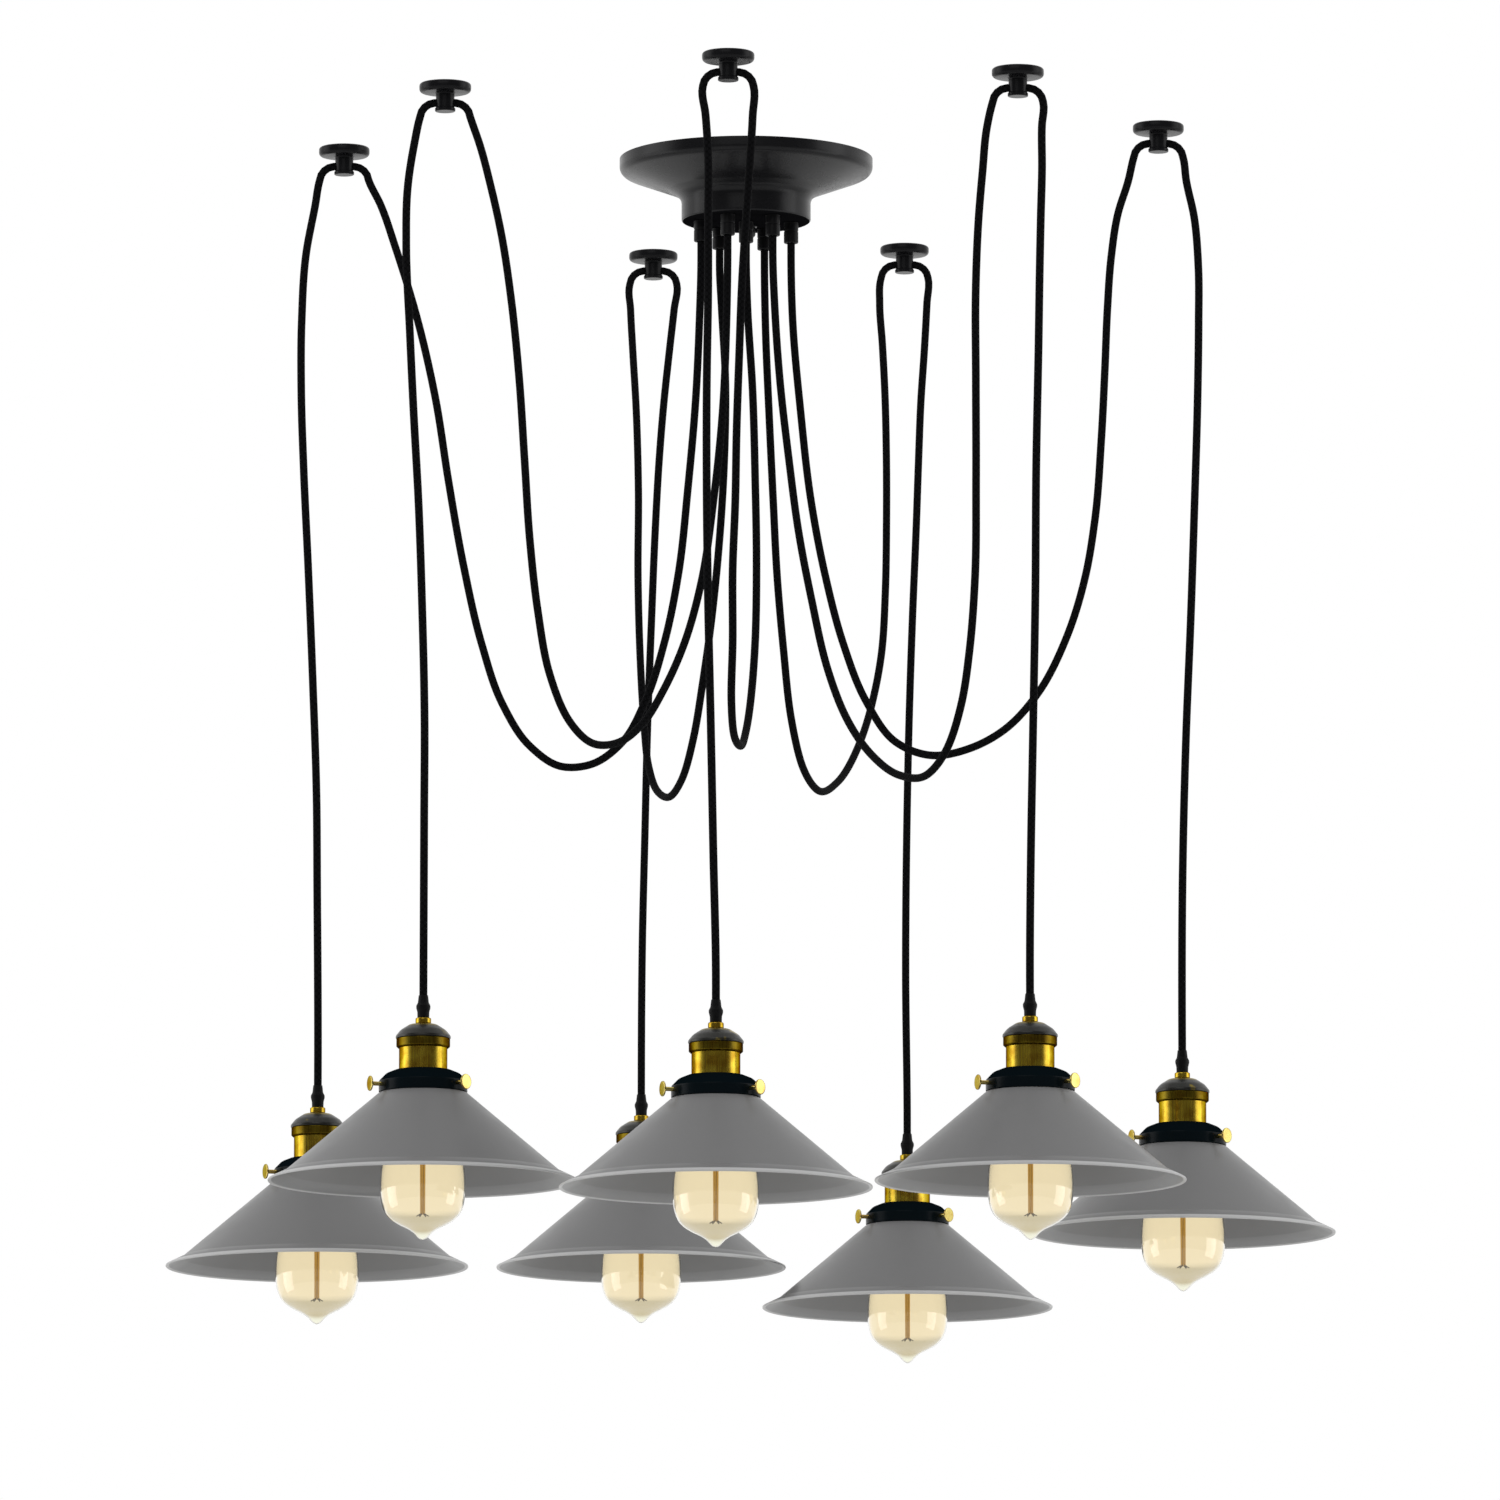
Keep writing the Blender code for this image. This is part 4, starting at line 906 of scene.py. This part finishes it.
class PENDANT_OT_canopy(PendantOperator, bpy.types.Operator):
    """Build the canopy, its seven cord glands and the cap nut."""
    bl_idname = "pendant.canopy"
    bl_label = "Canopy and glands"

    def build(self):
        s = settings()
        lacquer = coated_metal("black lacquer", s.finish.lacquer, 0.26, 0.20)
        matt = coated_metal("matt lacquer", s.finish.lacquer, 0.60, 0.0)
        plastic = coated_metal("gland plastic", scaled(s.finish.lacquer, 0.8), 0.42, 0.12)
        nut = coated_metal("black nut", s.finish.lacquer, 0.24)
        edge, cup, floor = s.ceiling.canopy_radius, s.ceiling.cup_radius, -s.ceiling.canopy_height
        outline = rounded([
            (edge, 0), (edge, -0.0105, 0.0060), (0.0600, -0.0248, 0.020), (cup, -0.0300, 0.010),
            (cup, floor, 0.0016), (0, floor),
        ], 10)
        shell = turned(np.vstack([outline, offset(outline, CANOPY_WALL)[::-1]]), 128, (0, 0, 0))
        piece("canopy", shell, lacquer, "ceiling_part", "black_metal", "canopy_shell")
        centres, normals = face_sides(shell)
        underside = (centres[:, 2] < floor + 0.0005) & (normals[:, 2] < -0.9)
        lined(shell, matt, underside)
        glands = [mesh for index in (None, *range(6)) for mesh in self.gland(*gland_place(index))]
        piece("glands", together(glands), plastic, "ceiling_part", "black_metal")
        top = floor - GAP
        outline = rounded([
            (0, -GAP), (0.002, -GAP, 0.0002), (0.002, top, 0), (0.0055, top, 0.0003),
            (0.0055, top - 0.0012, 0.0003), (0.0042, top - 0.0012, 0.0002),
            (0.0042, top - 0.0076, 0.0018), (0.0022, top - 0.0097, 0.001), (0, top - 0.0097),
        ])
        mesh = turned(outline, 48, CAP_NUT_PLACE)
        piece("cap_nut", mesh, nut, "ceiling_part", "black_metal", "canopy_nut")

    def gland(self, x, y):
        """One gland: a collar, a body with a bore that the cord enters, and the lock nut inside."""
        s = settings()
        r, floor, bore = s.ceiling.gland_radius, -s.ceiling.canopy_height, s.cord.radius + 2 * GAP
        foot = floor - s.ceiling.gland_length
        body = rounded([
            (bore, floor - 0.004), (bore, floor - GAP, 0.0002), (r + 0.0002, floor - GAP, 0.0002),
            (r, floor - 0.0010, 0.0002), (r, floor - 0.0065, 0.0002),
            (r - 0.0004, floor - 0.0069, 0.0001), (r - 0.0004, floor - 0.0074, 0.0001),
            (r, floor - 0.0078, 0.0002), (r, foot, 0.0014), (bore, foot, 0.0004),
            (bore, foot + 0.003),
        ], 3)
        nut, low = 0.0072, floor + CANOPY_WALL + GAP
        high = low + 0.0026
        hexagon = turned([(bore, low), (nut, low), (nut, high), (bore, high)], 6, (x, y, 0))
        hexagon.shade_flat()
        return turned(body, 40, (x, y, 0)), hexagon


class PENDANT_OT_fixing(PendantOperator, bpy.types.Operator):
    """Give the mounting bar and the terminal block their finishes."""
    bl_idname = "pendant.fixing"
    bl_label = "Bar and terminals"

    def build(self):
        zinc = zinc_plate("zinc plate")
        nylon = coated_metal("terminal nylon", (0.70, 0.68, 0.62), 0.5)
        for node, material in (("mounting_bar", zinc), ("terminal_block", nylon)):
            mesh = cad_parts[node].data
            mesh.materials.clear()
            mesh.materials.append(material)


class PENDANT_OT_shades(PendantOperator, bpy.types.Operator):
    """Build the shades: a spun cone with a neck, a flared brim and a rolled bead at its edge."""
    bl_idname = "pendant.shades"
    bl_label = "Shades"

    def build(self):
        s = settings()
        p, shoulder = s.lamp, lamp_heights()["shoulder"]
        outer = rounded([
            (p.neck_radius, shoulder + 0.0082), (p.neck_radius, shoulder, 0.0008),
            (p.ring_radius - 0.0005, shoulder, 0.0014),
            (p.brim_radius - p.brim_width, p.brim_height, 0.006), (p.brim_radius, 0),
        ], 8)
        inner = offset(outer, p.shade_wall)
        bead_radius, bead_reach = 0.0009, 0.0003
        edge = (outer[-1] + inner[-1]) / 2
        start = math.atan2(*(outer[-1] - edge)[::-1])
        turn = start - np.linspace(0.16, 0.84, 10) * math.pi
        centre = edge + bead_reach * unit(outer[-1:] - outer[-2:-1])[0]
        bead = centre + bead_radius * np.stack([np.cos(turn), np.sin(turn)], axis=1)
        whole = np.vstack([outer[:-1], bead, inner[::-1][1:]])
        # Middle and width of the painted highlight on the rolled edge, along the outline.
        rim_highlight_middle, rim_highlight_width = distances(outer)[-1] + 0.0006, 0.0046
        paint, lining_with_painted_light = (
            shade_paint(name, colour, s.finish.rim, rim_highlight_middle, rim_highlight_width) for name, colour in (
                ("grey paint", s.finish.paint), ("inner grey paint", s.finish.inner_paint_with_painted_light)))
        for number in NUMBERS:
            mesh, body = turned(whole, 144, lamp_place(number)), f"pendant_{number}"
            piece(f"shade_skin_{number}", mesh, paint, body, "grey_paint", f"shade_{number}")
            # Faces that look down take the lighter inner paint, painted light against the shadow
            # inside.
            looks_down = face_sides(mesh)[1][:, 2] < 0
            lined(mesh, lining_with_painted_light, looks_down)


class PENDANT_OT_rings(PendantOperator, bpy.types.Operator):
    """Build the rings that hold the shades, with their three thumb screws."""
    bl_idname = "pendant.rings"
    bl_label = "Shade rings"

    def build(self):
        s = settings()
        z = lamp_heights()
        black = coated_metal("ring black", s.finish.ring, 0.26, 0.05)
        matt = coated_metal("ring matt", s.finish.ring, 0.60, 0.0)
        brass = brass_metal("polished brass", s.finish.polish, 0.20, 0.80)
        hole, r = s.lamp.shell_radius + 0.0007, s.lamp.ring_radius
        top, wall_top, foot, wall = z["ring_top"], z["ring_wall_top"], z["ring_foot"], 0.0012
        outline = rounded([
            (hole, top - wall), (hole, top, 0.0004), (hole + 0.0018, top, 0.002),
            (hole + 0.0088, top - 0.0028, 0.008), (r, wall_top, 0.0022), (r, foot, 0.0005),
            (r - wall, foot, 0.0003), (r - wall, wall_top, 0.001),
            (hole + 0.0015, top - wall, 0.001), (hole, top - wall),
        ], 6)[:-1]
        screw_height = foot + RING_WALL * 0.62
        for number in NUMBERS:
            place, body = lamp_place(number), f"pendant_{number}"
            mesh = turned(outline, 96, place)
            piece(f"ring_{number}", mesh, black, body, "black_metal", f"shade_ring_{number}")
            looks_up = face_sides(mesh)[1][:, 2] > 0.35
            lined(mesh, matt, looks_up)
            screws = [self.screw(place, screw_height, azimuth) for azimuth in SCREW_AZIMUTHS]
            piece(f"screws_{number}", together(screws), brass, body, "brass")

    def screw(self, place, height, azimuth):
        """One thumb screw: a turned pin with a thin round head, which points out of the ring."""
        p = settings().lamp
        radius, head, point = p.screw_head, p.ring_radius + 0.0095, p.neck_radius + 0.0006
        grid = turned_grid(rounded([
            (0, head), (radius, head, 0.0007), (radius, head - 0.0014, 0.0005),
            (0.0024, head - 0.0016, 0.0004), (0.0016, head - 0.0028, 0.0004),
            (0.0015, point, 0.0003), (0, point),
        ]), 32)
        azimuth = math.radians(azimuth)
        out = np.array((math.sin(azimuth), -math.cos(azimuth), 0))
        side = np.array((math.cos(azimuth), math.sin(azimuth), 0))
        grid = grid[..., 2:] * out + grid[..., :1] * side + grid[..., 1:2] * np.array((0, 0, 1))
        return skin(grid + place + np.array((0, 0, height)))


class PENDANT_OT_sockets(PendantOperator, bpy.types.Operator):
    """Build the sockets: brass shell, insert with its thread, bronzed cap, collar and cord grip."""
    bl_idname = "pendant.sockets"
    bl_label = "Sockets"

    def build(self):
        s = settings()
        p, z = s.lamp, lamp_heights()
        brass = brass_metal("drawn brass", s.finish.brass, 0.24)
        aged = brass_metal("aged brass", scaled(s.finish.brass, 0.30), 0.30)
        bronze = bronze_metal("bronzed cap", s.finish.bronze, s.finish.brass, crown_wear_and_sheen=0.0125)
        rubber = coated_metal("black grip", scaled(s.finish.lacquer, 0.5), 0.55, 0.12)
        porcelain = coated_metal("socket insert", (0.55, 0.53, 0.49), 0.35)
        dome, skirt = self.cap_outlines(p, z)
        collar, grip = self.grip_outlines(p, z)
        rows = (
            ("shell", self.shell_outline(p, z), 96, brass, "brass", "socket_shell"),
            ("insert", self.insert_outline(p, z), 48, porcelain, "brass", None),
            ("cap", dome, 96, bronze, "bronze_cap", "socket_cap"),
            ("skirt", skirt, 96, aged, "bronze_cap", None),
            ("collar", collar, 48, brass, "brass", None),
            ("grip", grip, 40, rubber, "bronze_cap", None),
        )
        for number in NUMBERS:
            for name, outline, turns, material, slot, node in rows:
                mesh = turned(outline, turns, lamp_place(number))
                nodes = [f"{node}_{number}"] if node else []
                piece(f"{name}_{number}", mesh, material, f"pendant_{number}", slot, *nodes)

    def shell_outline(self, p, z):
        """The brass shell: a thin tube with rounded rims."""
        r, bore = p.shell_radius, p.shell_radius - 0.001
        return rounded([
            (bore, z["shell_top"]), (r, z["shell_top"], 0.0005), (r, z["shell_foot"], 0.0004),
            (bore, z["shell_foot"]),
        ], 3)

    def insert_outline(self, p, z):
        """The insert: a tube whose bore is a wave of the bulb thread's pitch, closed at its top."""
        bore, depth, outside = 0.0139, 0.00025, p.shell_radius - 0.0012
        top, lid = z["insert_top"], z["shell_top"] - 0.0006
        foot = top - 0.022
        along = np.linspace(foot, top, 49)
        wave = bore - depth + depth * np.cos((along - foot) / THREAD_PITCH * math.tau)
        thread = np.stack([wave, along], axis=1)
        return np.vstack([[(0, lid), (outside, lid), (outside, foot)], thread, [(0, top + GAP)]])

    def cap_outlines(self, p, z):
        """The cap: a low dome whose edge overhangs a brass skirt with rounded corners."""
        low, high = z["dome_foot"], z["collar_foot"]
        foot, height = low - 0.0010, high - low
        collar, skirt, shell = p.collar_radius, p.skirt_radius, p.shell_radius
        width, inside, lid = skirt - collar, shell + 0.0006, z["shell_top"] + 0.0004
        dome = rounded([
            (0, high - 0.0002), (collar + 0.0004, high - 0.0002, 0.0006),
            (collar + width * 0.30, low + height * 0.93, 0.006),
            (collar + width * 0.76, low + height * 0.50, 0.010),
            (skirt, low + height * 0.06, 0.0022), (skirt, foot, 0.0004),
            (skirt - 0.0006, foot - 0.0003, 0.0002), (inside, foot - 0.0003, 0.0002),
            (inside, lid, 0.0004), (0, lid),
        ], 6)
        r, inner, top, foot = skirt - 0.0005, shell + 0.0003, foot - 0.0005, z["skirt_foot"]
        return dome, rounded([
            (inner, top), (r, top, 0.0003), (r, foot + 0.0012, 0.0008), (r - 0.0014, foot, 0.0006),
            (inner, foot),
        ])

    def grip_outlines(self, p, z):
        """The collar, and the cord grip: a sleeve that swells in the middle, bored for the cord."""
        foot, top, r = z["grip_foot"], z["grip_top"], p.collar_radius
        collar = rounded([
            (0, foot), (r, foot, 0.0009), (r, z["collar_foot"], 0.0006), (0, z["collar_foot"])], 5)
        bore, height = settings().cord.radius + GAP / 2, top - foot
        grip = rounded([
            (0, foot + 0.0002), (0.0044, foot + 0.0002, 0.0004),
            (0.0045, foot + height * 0.26, 0.003), (0.0053, foot + height * 0.44, 0.0007),
            (0.0053, foot + height * 0.54, 0.0007), (0.0041, foot + height * 0.68, 0.002),
            (0.0035, top, 0.0003), (bore, top, 0.0001), (bore, top - 0.0030, 0.0001),
            (0, top - 0.0030),
        ])
        return collar, grip


class PENDANT_OT_bulbs(PendantOperator, bpy.types.Operator):
    """Build the bulbs: pointed glass, screw base, glass stem and the caged filament."""
    bl_idname = "pendant.bulbs"
    bl_label = "Bulbs"

    def build(self):
        s = settings()
        glass = bulb_glass("amber glass", s.finish.glass)
        clear = clear_glass("stem glass")
        nickel = brass_metal("base metal", (0.75, 0.70, 0.58), 0.25, 0.8)
        # The filament's emission is painted light: a faint warm glow on the wire.
        wire = coated_metal("filament", s.finish.filament, 0.45)
        feed(wire.node_tree.nodes["Principled BSDF"], {
            "Emission Color": (*s.finish.filament, 1), "Emission Strength": 0.14})
        support = coated_metal("support wire", (0.10, 0.09, 0.07), 0.4)
        contact = lamp_heights()["insert_top"] - GAP
        taper, thread = 0.007, 0.021        # heights of the base's two parts
        base_foot = contact - taper - thread
        outer, inner = self.glass_outlines(base_foot)
        whole = np.vstack([outer, inner[::-1]])
        painted_glows = (s.finish.glow, s.finish.painted_low_glow, s.finish.painted_tip_glow)
        # The inner side takes the glass that emits painted light.
        inside = bulb_glass("glowing inner side", s.finish.glass, painted_glows, distances(outer)[-1])
        base, stem = self.base_outline(base_foot, contact), self.stem_outline(base_foot)
        for number in NUMBERS:
            place, body = lamp_place(number), f"lamp_bulb_{number}"
            mesh = turned(whole, 80, place)
            piece(f"glass_{number}", mesh, glass, body, "amber_glass", f"bulb_{number}")
            centres, normals = face_sides(mesh)
            middle = place + np.array((0, 0, 0.008))
            looks_in = np.sum((centres - middle) * normals, axis=1) < 0
            lined(mesh, inside, looks_in)
            piece(f"base_{number}", turned(base, 56, place), nickel, body, "brass")
            piece(f"stem_{number}", turned(stem, 32, place), clear, body, "amber_glass")
            piece(f"filament_{number}", together(self.filament(place)), wire, body, "brass")
            piece(f"supports_{number}", together(self.supports(place)), support, body, "brass")

    def glass_outlines(self, base_foot):
        """The glass: a smooth curve by shares of its radius and height, and its inner side."""
        p, wall, tip_wall = settings().lamp, 0.0010, 0.0016
        shares = np.array((
            (0.000, 0.000), (0.060, 0.003), (0.110, 0.013), (0.200, 0.045), (0.330, 0.072),
            (0.530, 0.098), (0.725, 0.131), (0.870, 0.172), (0.945, 0.220), (0.985, 0.275),
            (1.000, 0.345), (0.990, 0.430), (0.955, 0.520), (0.900, 0.600), (0.820, 0.680),
            (0.725, 0.755), (0.635, 0.825), (0.560, 0.890), (0.500, 0.950), (0.455, 1.000),
        ))
        run = distances(shares)
        marks = np.linspace(0, run[-1], 90)
        radius, rise = (np.interp(marks, run, column) for column in shares.T)
        for _ in range(6):
            for line in (radius, rise):
                line[1:-1] = (line[:-2] + 2 * line[1:-1] + line[2:]) / 4
        height = base_foot + p.bulb_tip
        outer = np.stack([p.bulb_radius * radius, -p.bulb_tip + height * rise], axis=1)[::-1]
        outer[-1, 0] = 0
        inner = offset(outer, wall)
        inner[:, 0] = np.maximum(inner[:, 0], 0)
        inner[-1] = (0, outer[-1, 1] + tip_wall)
        return outer, inner

    def base_outline(self, foot, contact):
        """The screw base: a wave of the thread's pitch between its foot and the tapered top."""
        along = np.linspace(foot + 0.003, contact - 0.009, 61)
        wave = 0.0129 + 0.00035 * np.cos((along - along[0]) / THREAD_PITCH * math.tau)
        return np.vstack([
            [(0, foot - 0.0004), (0.0130, foot - 0.0004), (0.01325, foot), (0.01325, foot + 0.003)],
            np.stack([wave, along], axis=1),
            [(0.0125, contact - 0.0075), (0.0085, contact - 0.003), (0.0050, contact - 0.002),
             (0.0045, contact - 0.0004), (0.0040, contact), (0, contact)],
        ])

    def stem_outline(self, foot):
        """The glass stem: a flared foot that narrows to a rod."""
        return rounded([
            (0, foot - 0.001), (0.0125, foot - 0.001, 0.001), (0.0060, foot - 0.012, 0.01),
            (0.0030, foot - 0.020, 0.01), (0.0022, foot - 0.046, 0.004),
            (0.0026, foot - 0.050, 0.001), (0, foot - 0.051),
        ], 6)

    def filament(self, place):
        """The filament: a cage of fine wires round the axis, each a little aslant."""
        meshes, count, start = [], 9, 0.3

        def end(turn, radius, height):
            angle = math.tau * turn / count + start
            return place + np.array((radius * math.cos(angle), radius * math.sin(angle), height))

        for index in range(count):
            high, low = end(index, 0.0019, 0.050), end(index + 0.5, 0.0015, -0.026)
            meshes.append(tube(high + (low - high) * np.linspace(0, 1, 24)[:, None], 0.00042, 6))
        return meshes

    def supports(self, place):
        """The support wires: six short arms under the cage, and a core inside it."""
        up, meshes = np.array((0, 0, 1)), []
        for index in range(6):
            angle = math.tau * index / 6
            out = np.array((math.cos(angle), math.sin(angle), 0))
            arm = [place + out * reach + up * height for reach, height in (
                (0, -0.0245), (0.0016, -0.0255), (0.0046, -0.0276))]
            meshes.append(tube(arm, 0.00050, 6))
        core = place + up * 0.018 - up * 0.0435 * np.linspace(0, 1, 8)[:, None]
        return [*meshes, tube(core, 0.0006, 8)]


class PENDANT_OT_stage(PendantOperator, bpy.types.Operator):
    """Set up the camera, the floor and the soft light."""
    bl_idname = "pendant.stage"
    bl_label = "Studio"

    def build(self):
        scene = bpy.context.scene
        scene.view_settings.view_transform = "Standard"
        camera = bpy.data.cameras.new("camera")
        camera.lens, camera.sensor_width, camera.clip_end = 315, 36, 100
        scene.camera = in_scene("camera", camera)
        scene.camera.location = CAMERA_PLACE
        scene.camera.rotation_euler = (math.radians(CAMERA_TILT), 0, 0)
        self.floor()
        self.world()
        self.lamps()

    def floor(self):
        """A round pale floor far below the lamps, which can be seen from above only."""
        level = settings().studio.backdrop
        made, tree, principled = shader("pale floor", (0.80, 0.80, 0.79), 0.8)
        mesh = skin(turned_grid([(radius, FLOOR_HEIGHT) for radius in (0, 2.0, 4.0, 6.0)], 96))
        if mesh.polygons[0].normal.z < 0:
            mesh.flip_normals()
        mesh.materials.append(made)
        floor = in_scene("floor", mesh)
        path = put(tree, "ShaderNodeLightPath").outputs
        pale = put(tree, "ShaderNodeEmission", {"Color": (level, level, level, 1)}).outputs[0]
        straight = calc(tree, "MAXIMUM", path["Is Camera Ray"], path["Is Transmission Ray"])
        pale_share = 0.6
        seen = calc(tree, "MAXIMUM", straight, path["Is Glossy Ray"])
        seen = calc(tree, "MULTIPLY", seen, pale_share)
        above = mixed(tree, seen, principled.outputs["BSDF"], pale)
        back = put(tree, "ShaderNodeNewGeometry").outputs["Backfacing"]
        below = put(tree, "ShaderNodeBsdfTransparent").outputs["BSDF"]
        feed(tree.nodes["Material Output"], {"Surface": mixed(tree, back, above, below)})

    def world(self):
        """Even light all round: white to camera and glass, a studio with a dark front to gloss."""
        studio = settings().studio
        world = bpy.data.worlds.new("studio")
        bpy.context.scene.world = world
        world.use_nodes = True
        tree = world.node_tree
        tree.nodes.clear()
        path = put(tree, "ShaderNodeLightPath").outputs
        depth = split(tree, coordinates(tree, "Generated"))["Y"]
        front = map_range(tree, depth, (-0.50, 0.15), (0.10, 1.0), "SMOOTHSTEP")
        even, white, gloss = (
            put(tree, "ShaderNodeBackground", {"Color": WHITE, "Strength": strength}).outputs[0]
            for strength in (studio.surround, studio.backdrop, front))
        shiny = mixed(tree, path["Is Glossy Ray"], even, gloss)
        through = calc(tree, "MAXIMUM", path["Is Camera Ray"], path["Is Transmission Ray"])
        put(tree, "ShaderNodeOutputWorld", {"Surface": mixed(tree, through, shiny, white)})

    def lamps(self):
        """Two tall side lamps, whose reflections run down shells and bulbs, and one in front."""
        studio = settings().studio
        middle = Vector((0, 0, -0.5))
        for name, azimuth, rise, reach, width, height, power in (
            ("left lamp", -88, 2, 3.0, 1.7, 3.4, studio.side_lamps),
            ("right lamp", 82, 2, 3.0, 1.7, 3.4, studio.side_lamps),
            ("front lamp", -12, 35, 4.0, 2.5, 2.5, studio.front_lamp),
        ):
            light = bpy.data.lights.new(name, "AREA")
            light.shape, light.size, light.size_y, light.energy = "RECTANGLE", width, height, power
            a, e = math.radians(azimuth), math.radians(rise)
            out = Vector((math.sin(a) * math.cos(e), -math.cos(a) * math.cos(e), math.sin(e)))
            lamp = in_scene(name, light)
            lamp.location = middle + out * reach
            lamp.rotation_euler = out.to_track_quat("Z", "Y").to_euler()


class PENDANT_PT_panel(bpy.types.Panel):
    """The settings of the light, and its pieces in the order in which they are built."""
    bl_idname = "PENDANT_PT_panel"
    bl_label = "Spider Pendant Light"
    bl_space_type = "VIEW_3D"
    bl_region_type = "UI"
    bl_category = "Pendant"

    def draw(self, context):
        s = context.scene.pendant_light
        for title, part in (
            ("Ceiling", s.ceiling), ("Cords", s.cord), ("Lamp", s.lamp), ("Finishes", s.finish),
            ("Studio", s.studio),
        ):
            box = self.layout.box()
            box.label(text=title)
            for key in part.__annotations__:
                box.prop(part, key)
        for operator in BUILD_ORDER:
            self.layout.operator(operator.bl_idname)


BUILD_ORDER = (
    PENDANT_OT_stage, PENDANT_OT_cords, PENDANT_OT_hooks, PENDANT_OT_canopy, PENDANT_OT_fixing,
    PENDANT_OT_shades, PENDANT_OT_rings, PENDANT_OT_sockets, PENDANT_OT_bulbs,
)
CLASSES = (
    CeilingSizes, CordSizes, LampSizes, Finishes, Studio, PendantSettings, *BUILD_ORDER,
    PENDANT_PT_panel,
)


def register():
    for item in CLASSES:
        bpy.utils.register_class(item)
    bpy.types.Scene.pendant_light = PointerProperty(type=PendantSettings)


def unregister():
    del bpy.types.Scene.pendant_light
    for item in reversed(CLASSES):
        bpy.utils.unregister_class(item)


def main():
    register()
    for operator in BUILD_ORDER:
        module, name = operator.bl_idname.split(".")
        getattr(getattr(bpy.ops, module), name)()


if __name__ == "__main__":
    main()
